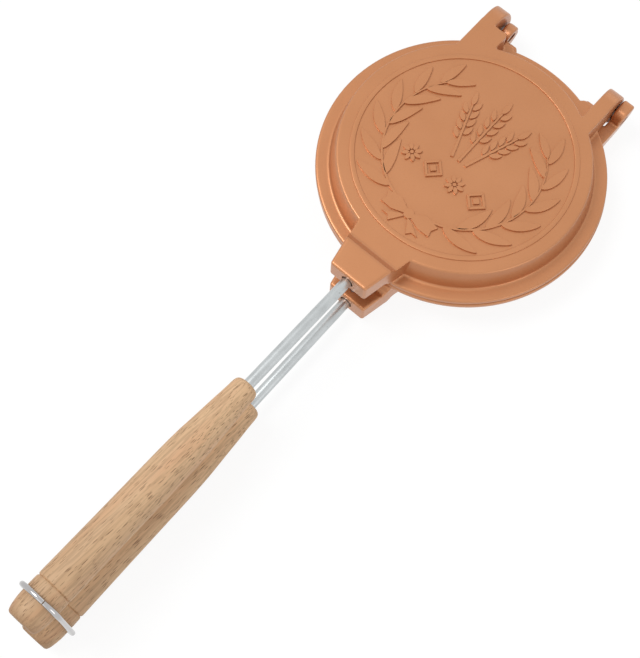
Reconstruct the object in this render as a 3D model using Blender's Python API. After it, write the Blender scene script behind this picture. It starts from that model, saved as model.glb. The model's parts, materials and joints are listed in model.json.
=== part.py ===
"""Stovetop sandwich maker: two round cast plates hinged at the back, each with a steel rod and a
turned beech grip, held shut by an oval wire ring that slips over both grips.

Units are metres in the scene and millimetres in the named dimensions below. The handle runs
toward -Y, the hinge line lies along X at the back, and +Z is up. The lower plate is drawn like
the upper one and turned half a turn about the handle, and only its hinge lugs are narrower.
"""

import math

import bmesh
import bpy
from mathutils import Matrix, Vector

MM = 0.001

# Plates
PLATE_RADIUS = 65.0
PLATE_SPLIT = 0.15
FLANGE_WIDTH = 6.25
FLANGE_HEIGHT = 3.1
WALL_LEAN = 2.55
RIM_HEIGHT = 13.87
WALL_THICKNESS = 2.75
RIM_LAND = 5.7
BEAD_WIDTH = 2.4
BEAD_HEIGHT = 0.55
PLATE_STEPS = 96
WALL_FOOT_RADIUS = PLATE_RADIUS - FLANGE_WIDTH
RIM_RADIUS = WALL_FOOT_RADIUS - WALL_LEAN
BEAD_RADIUS = RIM_RADIUS - RIM_LAND - BEAD_WIDTH / 2

# Neck and rod block
NECK_HALF_WIDTH = 14.5
BLOCK_HALF_WIDTH = 9.6
BLOCK_REACH = 13.6
BLOCK_RISE = 2.83
BLOCK_THICKNESS = 11.0
RAMP_FROM_RIM = 5.6
RAMP_RUN = 2.3
BLOCK_ROUND = 1.1
UNDER_STEP_FAR = 3.4
UNDER_STEP_NEAR = 1.0
UNDER_STEP_DROP = 0.9
NECK_ROOT_IN_RIM = 4.2
NECK_HOLD_IN_FLANGE = 3.0
NECK_START = RIM_RADIUS - 1.8
BLOCK_FRONT = PLATE_RADIUS + BLOCK_REACH
BLOCK_TOP = RIM_HEIGHT + BLOCK_RISE
BLOCK_UNDERSIDE = BLOCK_TOP - BLOCK_THICKNESS
RAMP_FOOT = RIM_RADIUS + RAMP_FROM_RIM
RAMP_TOP = RAMP_FOOT + RAMP_RUN

# Hinge. Faces are counted from the middle of their own plate, at the parting face
HINGE_REACH = 3.4
ARM_ROUND_FORWARD = 5.4
ARM_ROUND_BACK = 7.1
LUG_OUTER_FACE = 39.3
LUG_INNER_FACE = 25.8
UPPER_OUTER_LUG_WIDTH = 8.4
UPPER_INNER_LUG_WIDTH = 8.5
LOWER_OUTER_LUG_WIDTH = 5.1
LOWER_INNER_LUG_WIDTH = 4.7
DRAFT = 0.09
BASE_INNER_FACE = 23.4
BASE_CORNER = 2.0
BASE_TO_HINGE = 8.1
INNER_KNUCKLE_RADIUS = 5.4
OUTER_KNUCKLE_FRONT = 4.3
OUTER_KNUCKLE_HEIGHT = 6.9
OUTER_KNUCKLE_FLAT = 3.6
OUTER_KNUCKLE_CORNER = 2.4
GUSSET_INNER_FACE = 19.4
GUSSET_ROOT_IN_PLATE = 9.0
GUSSET_CHAMFER_ACROSS = 1.4
GUSSET_CHAMFER_ALONG = 1.6
UPPER_GUSSET_REACH = -1.6
LOWER_GUSSET_REACH = 1.0
LUG_ROUND = 0.9
PIN_RADIUS = 2.5
PIN_FIT = 0.3
PIN_RECESS = 2.2
SIDE_PLAY = 0.5
HINGE_BACK = PLATE_RADIUS + HINGE_REACH
ARM_FLAT_END = HINGE_BACK - ARM_ROUND_FORWARD
ARM_END = HINGE_BACK + ARM_ROUND_BACK
BASE_BACK = HINGE_BACK - BASE_TO_HINGE

# Where the arcs in the arms' side views start and end, in degrees
INNER_KNUCKLE_END = 355
INNER_ARM_BACK_START = 14
OUTER_KNUCKLE_START = 186
OUTER_CORNER_END = 350
OUTER_ARM_BACK_START = 2

# Rods
ROD_RADIUS = 2.5
ROD_UNDER_BLOCK_TOP = 5.5
SPREAD_DEGREES = 1.55
ROD_HOLE_RADIUS = 3.0
ROD_IN_BLOCK = 12.4
ROD_IN_GRIP = 43.0
ROD_FIT = 0.25
ROD_HEIGHT = BLOCK_TOP - ROD_UNDER_BLOCK_TOP
ROD_SPREAD = math.radians(SPREAD_DEGREES)

# Set screws that hold the rods in the blocks
SCREW_RADIUS = 1.5
SCREW_LENGTH = 2.4
SCREW_FIT = 0.2
SCREW_FROM_FRONT = 5.0

# Grips: distance from the front end along the rod, and radius there
BARE_ROD = 62.5
GRIP_LENGTH = 129.9
GRIP_MAX_RADIUS = 8.3
GRIP_SHAPE = (
    (0.0000, 0.491), (0.0031, 0.591), (0.0085, 0.657), (0.0169, 0.696), (0.0277, 0.711),
    (0.0477, 0.725), (0.0731, 0.749), (0.1008, 0.784), (0.1493, 0.830), (0.1986, 0.877),
    (0.2494, 0.930), (0.3002, 0.959), (0.3695, 0.971), (0.4773, 0.974), (0.6543, 0.982),
    (0.8006, 0.994), (0.8460, 0.996), (0.8507, 0.942), (0.8553, 0.996), (0.9161, 1.000),
    (0.9453, 0.991), (0.9654, 0.950), (0.9808, 0.906), (0.9923, 0.840), (1.0000, 0.745),
)
GRIP_STEPS = 32
BORE_END_GAP = 0.6
GRIP_FRONT = BLOCK_FRONT + BARE_ROD

# Locking ring
RING_FROM_END = 11.9
RING_WIRE_RADIUS = 1.15
RING_FIT = 0.5
RING_JOINT_OFFSET = 1.7
RING_JOINT_GAP = 0.3
WIRE_STEPS = 12
RING_FROM_FRONT = GRIP_LENGTH - RING_FROM_END


def clear_scene():
    """Remove every object that the start-up file holds."""
    for item in list(bpy.data.objects):
        bpy.data.objects.remove(item, do_unlink=True)


def finish(name, colour, metallic, roughness):
    """Return a Principled material of this colour."""
    made = bpy.data.materials.new(name)
    made.use_nodes = True
    shader = made.node_tree.nodes["Principled BSDF"]
    shader.inputs["Base Color"].default_value = (*colour, 1.0)
    shader.inputs["Metallic"].default_value = metallic
    shader.inputs["Roughness"].default_value = roughness
    made.diffuse_color = (*colour, 1.0)
    return made


def object_from(name, bm, smooth=False):
    """Turn a bmesh in millimetres into an object in metres."""
    bmesh.ops.scale(bm, vec=(MM, MM, MM), verts=bm.verts)
    bmesh.ops.recalc_face_normals(bm, faces=bm.faces)
    mesh = bpy.data.meshes.new(name)
    bm.to_mesh(mesh)
    bm.free()
    if smooth:
        mesh.polygons.foreach_set("use_smooth", [True] * len(mesh.polygons))
        mesh.set_sharp_from_angle(angle=math.radians(35))
    made = bpy.data.objects.new(name, mesh)
    bpy.context.scene.collection.objects.link(made)
    return made


def turned(profile, steps):
    """Spin a (radius, height) line about Z. It starts and ends on the axis, so the body is closed."""
    bm = bmesh.new()
    rings = []
    for radius, height in profile:
        if radius == 0:
            rings.append([bm.verts.new((0, 0, height))])
            continue
        ring = []
        for i in range(steps):
            angle = 2 * math.pi * (i + 0.5) / steps
            ring.append(bm.verts.new((radius * math.cos(angle), radius * math.sin(angle), height)))
        rings.append(ring)
    for first, second in zip(rings, rings[1:]):
        for i in range(steps):
            j = (i + 1) % steps
            corners = [first[i % len(first)], first[j % len(first)]]
            corners += [second[j % len(second)], second[i % len(second)]]
            bm.faces.new(list(dict.fromkeys(corners)))
    return bm


def flat_capped(profile, steps):
    """Spin a (radius, height) line about Z, with one flat face at either end."""
    bm = bmesh.new()
    rings = []
    for radius, height in profile:
        ring = []
        for i in range(steps):
            angle = 2 * math.pi * (i + 0.5) / steps
            ring.append(bm.verts.new((radius * math.cos(angle), radius * math.sin(angle), height)))
        rings.append(ring)
    for first, second in zip(rings, rings[1:]):
        for i in range(steps):
            j = (i + 1) % steps
            bm.faces.new((first[i], first[j], second[j], second[i]))
    bm.faces.new(rings[0])
    bm.faces.new(rings[-1])
    return bm


def slab(low, high):
    """Join two closed outlines of equal length, given as 3-D points, into one solid."""
    bm = bmesh.new()
    first = [bm.verts.new(point) for point in low]
    second = [bm.verts.new(point) for point in high]
    count = len(first)
    for i in range(count):
        j = (i + 1) % count
        bm.faces.new((first[i], first[j], second[j], second[i]))
    bm.faces.new(first)
    bm.faces.new(second)
    bmesh.ops.recalc_face_normals(bm, faces=bm.faces)
    return bm


def round_edges(bm, chosen, width, segments=2):
    """Bevel the edges for which chosen(edge) is true."""
    edges = [edge for edge in bm.edges if chosen(edge)]
    bmesh.ops.bevel(bm, geom=edges, offset=width, affect="EDGES", segments=segments,
                    profile=0.5, clamp_overlap=True, material=-1)


def hide_helper(helper, target):
    """Keep a cutter or a joined shape out of the render."""
    helper.hide_render = True
    helper.display_type = "WIRE"
    helper.parent = target


def combine(target, helper, operation):
    """Add an exact Boolean that leaves the helper hidden."""
    modifier = target.modifiers.new(helper.name, "BOOLEAN")
    modifier.operation = operation
    modifier.solver = "EXACT"
    modifier.object = helper
    hide_helper(helper, target)


def pan_profile():
    """Outside of one plate, from the middle of the field to the parting face."""
    bead_in = BEAD_RADIUS - BEAD_WIDTH / 2
    bead_out = BEAD_RADIUS + BEAD_WIDTH / 2
    slope = (WALL_FOOT_RADIUS - RIM_RADIUS) / (RIM_HEIGHT - FLANGE_HEIGHT)
    return [
        (bead_in, RIM_HEIGHT),
        (bead_in + 0.15 * BEAD_WIDTH, RIM_HEIGHT + 0.7 * BEAD_HEIGHT),
        (BEAD_RADIUS - 0.2 * BEAD_WIDTH, RIM_HEIGHT + BEAD_HEIGHT),
        (BEAD_RADIUS + 0.2 * BEAD_WIDTH, RIM_HEIGHT + BEAD_HEIGHT),
        (bead_out - 0.15 * BEAD_WIDTH, RIM_HEIGHT + 0.7 * BEAD_HEIGHT),
        (bead_out, RIM_HEIGHT),
        (RIM_RADIUS - 0.45, RIM_HEIGHT),
        (RIM_RADIUS + 0.45 * slope, RIM_HEIGHT - 0.45),
        (WALL_FOOT_RADIUS - 0.8 * slope, FLANGE_HEIGHT + 0.8),
        (WALL_FOOT_RADIUS + 0.6, FLANGE_HEIGHT),
        (PLATE_RADIUS - 0.5, FLANGE_HEIGHT),
        (PLATE_RADIUS, FLANGE_HEIGHT - 0.5),
        (PLATE_RADIUS, PLATE_SPLIT),
    ]


def cavity_profile():
    """Hollow of one plate, from below the parting face up to its ceiling."""
    slope = (WALL_FOOT_RADIUS - RIM_RADIUS) / (RIM_HEIGHT - FLANGE_HEIGHT)
    ceiling = RIM_HEIGHT - WALL_THICKNESS
    mouth = WALL_FOOT_RADIUS - WALL_THICKNESS + slope * FLANGE_HEIGHT

    def wall(height):
        return mouth - slope * height

    return [
        (wall(0) + slope, -1.0),
        (wall(ceiling - 2.4), ceiling - 2.4),
        (wall(ceiling - 2.4) - 0.7, ceiling - 0.7),
        (wall(ceiling - 2.4) - 2.4, ceiling),
    ]


def neck_block(name):
    """Neck and rod block: flat neck, ramp up, flat top, stepped underside."""
    taper = (NECK_HALF_WIDTH - BLOCK_HALF_WIDTH) / (BLOCK_FRONT - NECK_START)

    def half_width(distance):
        return NECK_HALF_WIDTH - taper * (distance - NECK_START)

    root = RIM_RADIUS - NECK_ROOT_IN_RIM
    flange_hold = PLATE_RADIUS - NECK_HOLD_IN_FLANGE
    outline = (
        (root, RIM_HEIGHT),
        (RAMP_FOOT, RIM_HEIGHT),
        (RAMP_TOP, BLOCK_TOP),
        (BLOCK_FRONT, BLOCK_TOP),
        (BLOCK_FRONT, BLOCK_UNDERSIDE),
        (PLATE_RADIUS + UNDER_STEP_FAR, BLOCK_UNDERSIDE),
        (PLATE_RADIUS + UNDER_STEP_NEAR, BLOCK_UNDERSIDE - UNDER_STEP_DROP),
        (PLATE_RADIUS - 0.3, FLANGE_HEIGHT),
        (flange_hold, 0.5 * FLANGE_HEIGHT),
        (root, 0.5 * FLANGE_HEIGHT),
    )
    low = [(-half_width(y), -y, z) for y, z in outline]
    high = [(half_width(y), -y, z) for y, z in outline]
    bm = slab(low, high)

    def outer(edge):
        first, second = (vert.co for vert in edge.verts)
        middle = (first + second) / 2
        if middle.y > -RAMP_TOP + 0.1:
            return False
        return middle.z > BLOCK_UNDERSIDE - 0.1 and max(first.y, second.y) < -RAMP_TOP + 0.1

    round_edges(bm, outer, BLOCK_ROUND)
    return object_from(name, bm)


def base_outline(inner_end):
    """Side view in (y, z) of the wide base that both lugs of a pair meet over."""
    top = [(BASE_BACK, RIM_HEIGHT), (inner_end, RIM_HEIGHT)]
    return [(inner_end, PLATE_SPLIT), (BASE_BACK, PLATE_SPLIT)] + top


def arc(centre, reach, rise, start, end, steps):
    """Points of an ellipse's arc in (y, z), angles in degrees."""
    points = []
    for i in range(steps + 1):
        angle = math.radians(start + (end - start) * i / steps)
        points.append((centre[0] + reach * math.cos(angle), centre[1] + rise * math.sin(angle)))
    return points


def arm_back(lowest_angle):
    """The rounded end of an arm, from its back up to where the flat top starts."""
    return arc((ARM_FLAT_END, 0), ARM_END - ARM_FLAT_END, RIM_HEIGHT, lowest_angle, 90, 8)


def inner_outline(inner_end):
    """Side view of an inner arm: a round knuckle under a rounded end."""
    radius = INNER_KNUCKLE_RADIUS
    start = 180 + math.degrees(math.asin(-PLATE_SPLIT / radius))
    points = [(inner_end, PLATE_SPLIT)]
    points += arc((HINGE_BACK, 0), radius, radius, start, INNER_KNUCKLE_END, 13)
    points += arm_back(INNER_ARM_BACK_START)
    points.append((inner_end, RIM_HEIGHT))
    return points


def outer_outline(inner_end):
    """Side view of an outer arm: a knuckle with a rounded front, a flat and a rounded corner."""
    points = [(inner_end, PLATE_SPLIT), (HINGE_BACK - OUTER_KNUCKLE_FRONT, PLATE_SPLIT)]
    points += arc((HINGE_BACK, 0), OUTER_KNUCKLE_FRONT, OUTER_KNUCKLE_HEIGHT,
                  OUTER_KNUCKLE_START, 270, 7)
    corner = (HINGE_BACK + OUTER_KNUCKLE_FLAT, OUTER_KNUCKLE_CORNER - OUTER_KNUCKLE_HEIGHT)
    points += arc(corner, OUTER_KNUCKLE_CORNER, OUTER_KNUCKLE_CORNER, 270, OUTER_CORNER_END, 4)
    points += arm_back(OUTER_ARM_BACK_START)
    points.append((inner_end, RIM_HEIGHT))
    return points


def hinge_arm(name, drafted, plain, root_drafted, root_plain, outline):
    """A hinge arm between its drafted face and its plain one. Its root ends inside the plate wall."""
    low = [(drafted + DRAFT * z, y, z) for y, z in outline(root_drafted)]
    high = [(plain, y, z) for y, z in outline(root_plain)]
    bm = slab(low, high)

    def flank(edge):
        first, second = (vert.co for vert in edge.verts)
        if abs(first.x - second.x) > 2.0:
            return False
        if max(first.z, second.z) < PLATE_SPLIT + 0.01 and min(first.y, second.y) < BASE_BACK:
            return False
        return max(first.y, second.y) > BASE_BACK + 0.1

    def notch_corner(edge):
        return all(vert.co.x > plain - 0.01 and vert.co.y > BASE_BACK - 0.01 for vert in edge.verts)

    if outline is base_outline:
        round_edges(bm, notch_corner, BASE_CORNER, 3)
    else:
        round_edges(bm, flank, LUG_ROUND)
    return object_from(name, bm)


def gusset(name, side, arm_face, back):
    """Chamfered lug at flange level on the inner side of an arm."""
    root = PLATE_RADIUS - GUSSET_ROOT_IN_PLATE
    plan = (
        (side * GUSSET_INNER_FACE, root),
        (side * GUSSET_INNER_FACE, back - GUSSET_CHAMFER_ALONG),
        (side * (GUSSET_INNER_FACE + GUSSET_CHAMFER_ACROSS), back),
        (side * arm_face, back),
        (side * arm_face, root),
    )
    low = [(x, y, PLATE_SPLIT) for x, y in plan]
    high = [(x, y, FLANGE_HEIGHT) for x, y in plan]
    return object_from(name, slab(low, high))


def cylinder(name, radius, start, end, steps=24, smooth=True):
    """A plain cylinder between two points."""
    axis = Vector(end) - Vector(start)
    bm = flat_capped([(radius, 0.0), (radius, axis.length)], steps)
    turn = axis.to_track_quat("Z", "Y").to_matrix().to_4x4()
    bmesh.ops.transform(bm, matrix=Matrix.Translation(start) @ turn, verts=bm.verts)
    return object_from(name, bm, smooth)


def bar(name, radius, start, end, edge, steps=24):
    """A cylinder between two points with a small chamfer at both ends."""
    axis = Vector(end) - Vector(start)
    line = [(radius - edge, 0.0), (radius, edge), (radius, axis.length - edge), (radius - edge, axis.length)]
    bm = flat_capped(line, steps)
    turn = axis.to_track_quat("Z", "Y").to_matrix().to_4x4()
    bmesh.ops.transform(bm, matrix=Matrix.Translation(start) @ turn, verts=bm.verts)
    return object_from(name, bm, True)


def rod_point(distance):
    """Point on the upper rod's axis at this distance in front of the plate's middle."""
    return Vector((0, -distance, ROD_HEIGHT + math.tan(ROD_SPREAD) * (distance - BLOCK_FRONT)))


def root_of(radius, face):
    """How far back a vertical face meets a circle of this radius."""
    return math.sqrt(radius ** 2 - face ** 2)


def plate(name, outer_width, inner_width, gusset_reach, metal):
    """One cast plate: pan, neck with rod block, outer arm on the left, inner arm on the right."""
    made = object_from(name, flat_capped(pan_profile(), PLATE_STEPS), True)
    made.data.materials.append(metal)

    bead_side = BEAD_RADIUS + BEAD_WIDTH / 2 + 0.6
    wall_side = RIM_RADIUS - 1.8
    outer_near = LUG_OUTER_FACE - outer_width
    inner_far = LUG_INNER_FACE + inner_width
    gusset_back = PLATE_RADIUS + gusset_reach

    combine(made, neck_block(name + "_neck"), "UNION")
    base = hinge_arm(name + "_base", -LUG_OUTER_FACE, -BASE_INNER_FACE,
                     root_of(wall_side, LUG_OUTER_FACE), root_of(bead_side, BASE_INNER_FACE), base_outline)
    combine(made, base, "UNION")
    outer = hinge_arm(name + "_outer_arm", -LUG_OUTER_FACE, -outer_near,
                      root_of(wall_side, LUG_OUTER_FACE), root_of(wall_side, outer_near), outer_outline)
    combine(made, outer, "UNION")
    inner = hinge_arm(name + "_inner_arm", LUG_INNER_FACE, inner_far,
                      root_of(bead_side + 0.6, LUG_INNER_FACE), root_of(wall_side, inner_far), inner_outline)
    combine(made, inner, "UNION")
    combine(made, gusset(name + "_gusset_left", -1, BASE_INNER_FACE + 1.5, gusset_back), "UNION")
    combine(made, gusset(name + "_gusset_right", 1, LUG_INNER_FACE + 1.5, gusset_back), "UNION")
    combine(made, object_from(name + "_hollow", flat_capped(cavity_profile(), PLATE_STEPS)), "DIFFERENCE")

    hole = cylinder(name + "_pin_hole_left", PIN_RADIUS + PIN_FIT,
                    (-LUG_OUTER_FACE - 2, HINGE_BACK, 0), (-outer_near + 2, HINGE_BACK, 0), 20)
    combine(made, hole, "DIFFERENCE")
    hole = cylinder(name + "_pin_hole_right", PIN_RADIUS + PIN_FIT,
                    (LUG_INNER_FACE - 2, HINGE_BACK, 0), (inner_far + 2, HINGE_BACK, 0), 20)
    combine(made, hole, "DIFFERENCE")
    hole = cylinder(name + "_rod_hole", ROD_HOLE_RADIUS,
                    rod_point(BLOCK_FRONT - ROD_IN_BLOCK - 0.5), rod_point(BLOCK_FRONT + 3))
    combine(made, hole, "DIFFERENCE")
    at = BLOCK_FRONT - SCREW_FROM_FRONT
    hole = cylinder(name + "_screw_hole", SCREW_RADIUS + SCREW_FIT,
                    (0, -at, BLOCK_UNDERSIDE - 2), (0, -at, ROD_HEIGHT), 16)
    combine(made, hole, "DIFFERENCE")
    return made


def rod(name, metal):
    """Straight steel rod from inside the block to inside the grip."""
    made = bar(name, ROD_RADIUS, rod_point(BLOCK_FRONT - ROD_IN_BLOCK),
               rod_point(GRIP_FRONT + ROD_IN_GRIP * math.cos(ROD_SPREAD)), 0.4)
    made.data.materials.append(metal)
    return made


def set_screw(name, metal):
    """Short socket screw that clamps the rod from the block's inner face."""
    at = BLOCK_FRONT - SCREW_FROM_FRONT
    rod_side = rod_point(at).z - ROD_RADIUS / math.cos(ROD_SPREAD) - 0.25
    made = bar(name, SCREW_RADIUS, (0, -at, rod_side - SCREW_LENGTH), (0, -at, rod_side), 0.3, 16)
    made.data.materials.append(metal)
    socket = cylinder(name + "_socket", 0.5 * SCREW_RADIUS, (0, -at, rod_side - SCREW_LENGTH - 1),
                      (0, -at, rod_side - 0.45 * SCREW_LENGTH), 6, False)
    combine(made, socket, "DIFFERENCE")
    return made


def grip(name, wood):
    """Turned wooden grip with a blind bore for the rod."""
    bore = ROD_RADIUS + ROD_FIT
    depth = ROD_IN_GRIP + BORE_END_GAP
    line = [(0, depth), (bore, depth), (bore, 0.0)]
    line += [(radius * GRIP_MAX_RADIUS, share * GRIP_LENGTH) for share, radius in GRIP_SHAPE]
    line.append((0, GRIP_LENGTH))
    bm = turned(line, GRIP_STEPS)
    axis = rod_point(GRIP_FRONT + 10) - rod_point(GRIP_FRONT)
    turn = axis.to_track_quat("Z", "Y").to_matrix().to_4x4()
    bmesh.ops.transform(bm, matrix=Matrix.Translation(rod_point(GRIP_FRONT)) @ turn, verts=bm.verts)
    made = object_from(name, bm, True)
    made.data.materials.append(wood)
    return made


def hinge_pin(name, side, metal):
    """Pin through both knuckles of one hinge, set back from the outer face."""
    inner_end = LUG_INNER_FACE - SIDE_PLAY / 2 + 0.8
    outer_end = LUG_OUTER_FACE + SIDE_PLAY / 2 - PIN_RECESS
    made = bar(name, PIN_RADIUS, (side * inner_end, HINGE_BACK, 0),
               (side * outer_end, HINGE_BACK, 0), 0.3, 20)
    made.data.materials.append(metal)
    return made


def ring_path():
    """Middle line of the ring's wire as (x, z), open at the butt joint on top."""
    loop = GRIP_MAX_RADIUS + RING_FIT + RING_WIRE_RADIUS
    centre = rod_point(GRIP_FRONT + RING_FROM_FRONT).z
    start = math.asin((RING_JOINT_OFFSET + RING_JOINT_GAP / 2) / loop)
    end = math.asin((RING_JOINT_OFFSET - RING_JOINT_GAP / 2) / loop)
    points = []
    steps = 14
    for i in range(steps + 1):
        angle = start + (0.5 * math.pi - start) * i / steps
        points.append((loop * math.sin(angle), centre + loop * math.cos(angle)))
    for i in range(1, 4):
        points.append((loop, centre * (1 - 2 * i / 4)))
    for i in range(2 * steps + 1):
        angle = 0.5 * math.pi + math.pi * i / (2 * steps)
        points.append((loop * math.sin(angle), -centre + loop * math.cos(angle)))
    for i in range(1, 4):
        points.append((-loop, centre * (2 * i / 4 - 1)))
    for i in range(steps + 1):
        angle = 1.5 * math.pi + (0.5 * math.pi + end) * i / steps
        points.append((loop * math.sin(angle), centre + loop * math.cos(angle)))
    lean = SIDE_PLAY / 2 / centre
    return [(x - lean * z, z) for x, z in points]


def locking_ring(name, metal):
    """Oval wire loop that stands square to the handle and holds both grips together."""
    path = ring_path()
    at = -(GRIP_FRONT + RING_FROM_FRONT)
    bm = bmesh.new()
    rings = []
    for i, (x, z) in enumerate(path):
        before = path[max(i - 1, 0)]
        after = path[min(i + 1, len(path) - 1)]
        along = Vector((after[0] - before[0], 0, after[1] - before[1])).normalized()
        across = along.cross(Vector((0, 1, 0))).normalized()
        ring = []
        for j in range(WIRE_STEPS):
            angle = 2 * math.pi * j / WIRE_STEPS
            offset = across * math.cos(angle) + Vector((0, 1, 0)) * math.sin(angle)
            ring.append(bm.verts.new(Vector((x, at, z)) + offset * RING_WIRE_RADIUS))
        rings.append(ring)
    for first, second in zip(rings, rings[1:]):
        for j in range(WIRE_STEPS):
            k = (j + 1) % WIRE_STEPS
            bm.faces.new((first[j], first[k], second[k], second[j]))
    bm.faces.new(rings[0])
    bm.faces.new(rings[-1])
    made = object_from(name, bm, True)
    made.data.materials.append(metal)
    return made


def empty(name, location, parent=None):
    """An empty that marks a joint or a body."""
    made = bpy.data.objects.new(name, None)
    made.empty_display_size = 0.02
    bpy.context.scene.collection.objects.link(made)
    made.location = location
    made.parent = parent
    return made


def attach(child, parent):
    """Parent an object and keep it where it is."""
    child.parent = parent
    bpy.context.view_layer.update()
    child.matrix_parent_inverse = parent.matrix_world.inverted()


def stand_on_floor(root, pieces):
    """Move the whole object so that it is centred over the origin with its lowest point at zero."""
    bpy.context.view_layer.update()
    graph = bpy.context.evaluated_depsgraph_get()
    corners = []
    for piece in pieces:
        seen = piece.evaluated_get(graph)
        mesh = seen.to_mesh()
        corners += [seen.matrix_world @ vert.co for vert in mesh.vertices]
        seen.to_mesh_clear()
    low = [min(corner[axis] for corner in corners) for axis in range(3)]
    high = [max(corner[axis] for corner in corners) for axis in range(3)]
    root.location = (-(low[0] + high[0]) / 2, -(low[1] + high[1]) / 2, -low[2])
    bpy.context.view_layer.update()


def build():
    """Build every piece, put it on its body and set the object on the floor."""
    clear_scene()
    copper = finish("copper_finish", (0.60, 0.27, 0.13), 0.55, 0.42)
    bright = finish("bright_steel", (0.72, 0.73, 0.75), 1.0, 0.22)
    plain = finish("plain_steel", (0.45, 0.45, 0.46), 1.0, 0.4)
    beech = finish("beech", (0.64, 0.40, 0.22), 0.0, 0.55)

    root = empty("sandwich_maker", (0, 0, 0))
    lower_body = empty("lower_body", (0, 0, 0), root)
    upper_body = empty("lid_hinge", (0, HINGE_BACK * MM, 0), lower_body)
    ring_body = empty("ring_slide", (0, -(GRIP_FRONT + RING_FROM_FRONT) * MM, 0), lower_body)
    aside = SIDE_PLAY / 2 * MM
    upper_place = Matrix.Translation((-aside, 0, 0))
    lower_place = Matrix.Translation((aside, 0, 0)) @ Matrix.Rotation(math.pi, 4, "Y")

    lower = []
    upper = []
    upper.append(plate("upper_plate", UPPER_OUTER_LUG_WIDTH, UPPER_INNER_LUG_WIDTH,
                       UPPER_GUSSET_REACH, copper))
    lower.append(plate("lower_plate", LOWER_OUTER_LUG_WIDTH, LOWER_INNER_LUG_WIDTH,
                       LOWER_GUSSET_REACH, copper))
    for side, group in (("upper", upper), ("lower", lower)):
        group.append(rod(side + "_rod", bright))
        group.append(grip(side + "_grip", beech))
        group.append(set_screw(side + "_rod_screw", plain))
    for piece in upper:
        piece.matrix_world = upper_place
    for piece in lower:
        piece.matrix_world = lower_place
    upper.append(hinge_pin("left_hinge_pin", -1, plain))
    lower.append(hinge_pin("right_hinge_pin", 1, plain))
    ring = locking_ring("locking_ring", bright)

    for piece in lower:
        attach(piece, lower_body)
    for piece in upper:
        attach(piece, upper_body)
    attach(ring, ring_body)
    stand_on_floor(root, lower + upper + [ring])


build()
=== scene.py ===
"""Looks of the stovetop sandwich maker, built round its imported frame.

Two cast plates with a copper finish, plated rods, turned beech grips and a wire ring. The upper
plate carries a raised wreath, ears of grain and a row of small motifs. Sizes are in millimetres
in each half's own frame: the middle of the plate on the parting face, the handle toward -Y and
the plate's outer face toward +Z. Finished meshes are in metres in the frame's coordinates.
"""

import json
import logging
import math
from dataclasses import dataclass, field
from enum import Enum
from typing import Callable, Optional, Sequence, Union

import bmesh
import bpy
from mathutils import Euler, Matrix, Vector


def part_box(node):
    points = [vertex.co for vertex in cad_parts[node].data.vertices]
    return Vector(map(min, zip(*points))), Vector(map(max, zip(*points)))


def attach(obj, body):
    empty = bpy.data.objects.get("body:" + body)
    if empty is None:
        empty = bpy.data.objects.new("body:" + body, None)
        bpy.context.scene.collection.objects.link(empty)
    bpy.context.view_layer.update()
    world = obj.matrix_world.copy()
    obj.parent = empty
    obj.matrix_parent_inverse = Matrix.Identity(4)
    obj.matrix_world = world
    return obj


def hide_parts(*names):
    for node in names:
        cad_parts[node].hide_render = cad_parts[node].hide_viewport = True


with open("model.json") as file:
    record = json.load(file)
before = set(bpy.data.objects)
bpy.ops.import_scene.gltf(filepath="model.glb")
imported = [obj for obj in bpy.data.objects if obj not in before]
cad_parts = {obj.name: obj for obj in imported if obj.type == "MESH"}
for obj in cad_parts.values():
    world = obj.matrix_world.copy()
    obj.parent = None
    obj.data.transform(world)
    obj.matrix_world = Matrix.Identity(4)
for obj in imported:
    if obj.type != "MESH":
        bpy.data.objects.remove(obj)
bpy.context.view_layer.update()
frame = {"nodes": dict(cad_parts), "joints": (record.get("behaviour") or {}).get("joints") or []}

MM = 0.001
LOG = logging.getLogger("sandwich_maker")

Point2 = tuple[float, float]
Corner = tuple[float, float, float]
Triple = tuple[float, float, float]
Stops = tuple[Point2, ...]

# Places within this many millimetres count as one where points and edges are chosen
NEAR = 0.1
# Points within this many millimetres are merged into one
WELD = 0.0005
WHITE = (1.0, 1.0, 1.0, 1.0)


class Side(Enum):
    """The two halves of the maker."""

    UPPER = "upper"
    LOWER = "lower"


class Slot(Enum):
    """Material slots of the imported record."""

    COPPER = "copper_finish"
    BRIGHT_STEEL = "bright_steel"
    PLAIN_STEEL = "plain_steel"
    BEECH = "beech"


# Shader graphs


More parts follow.
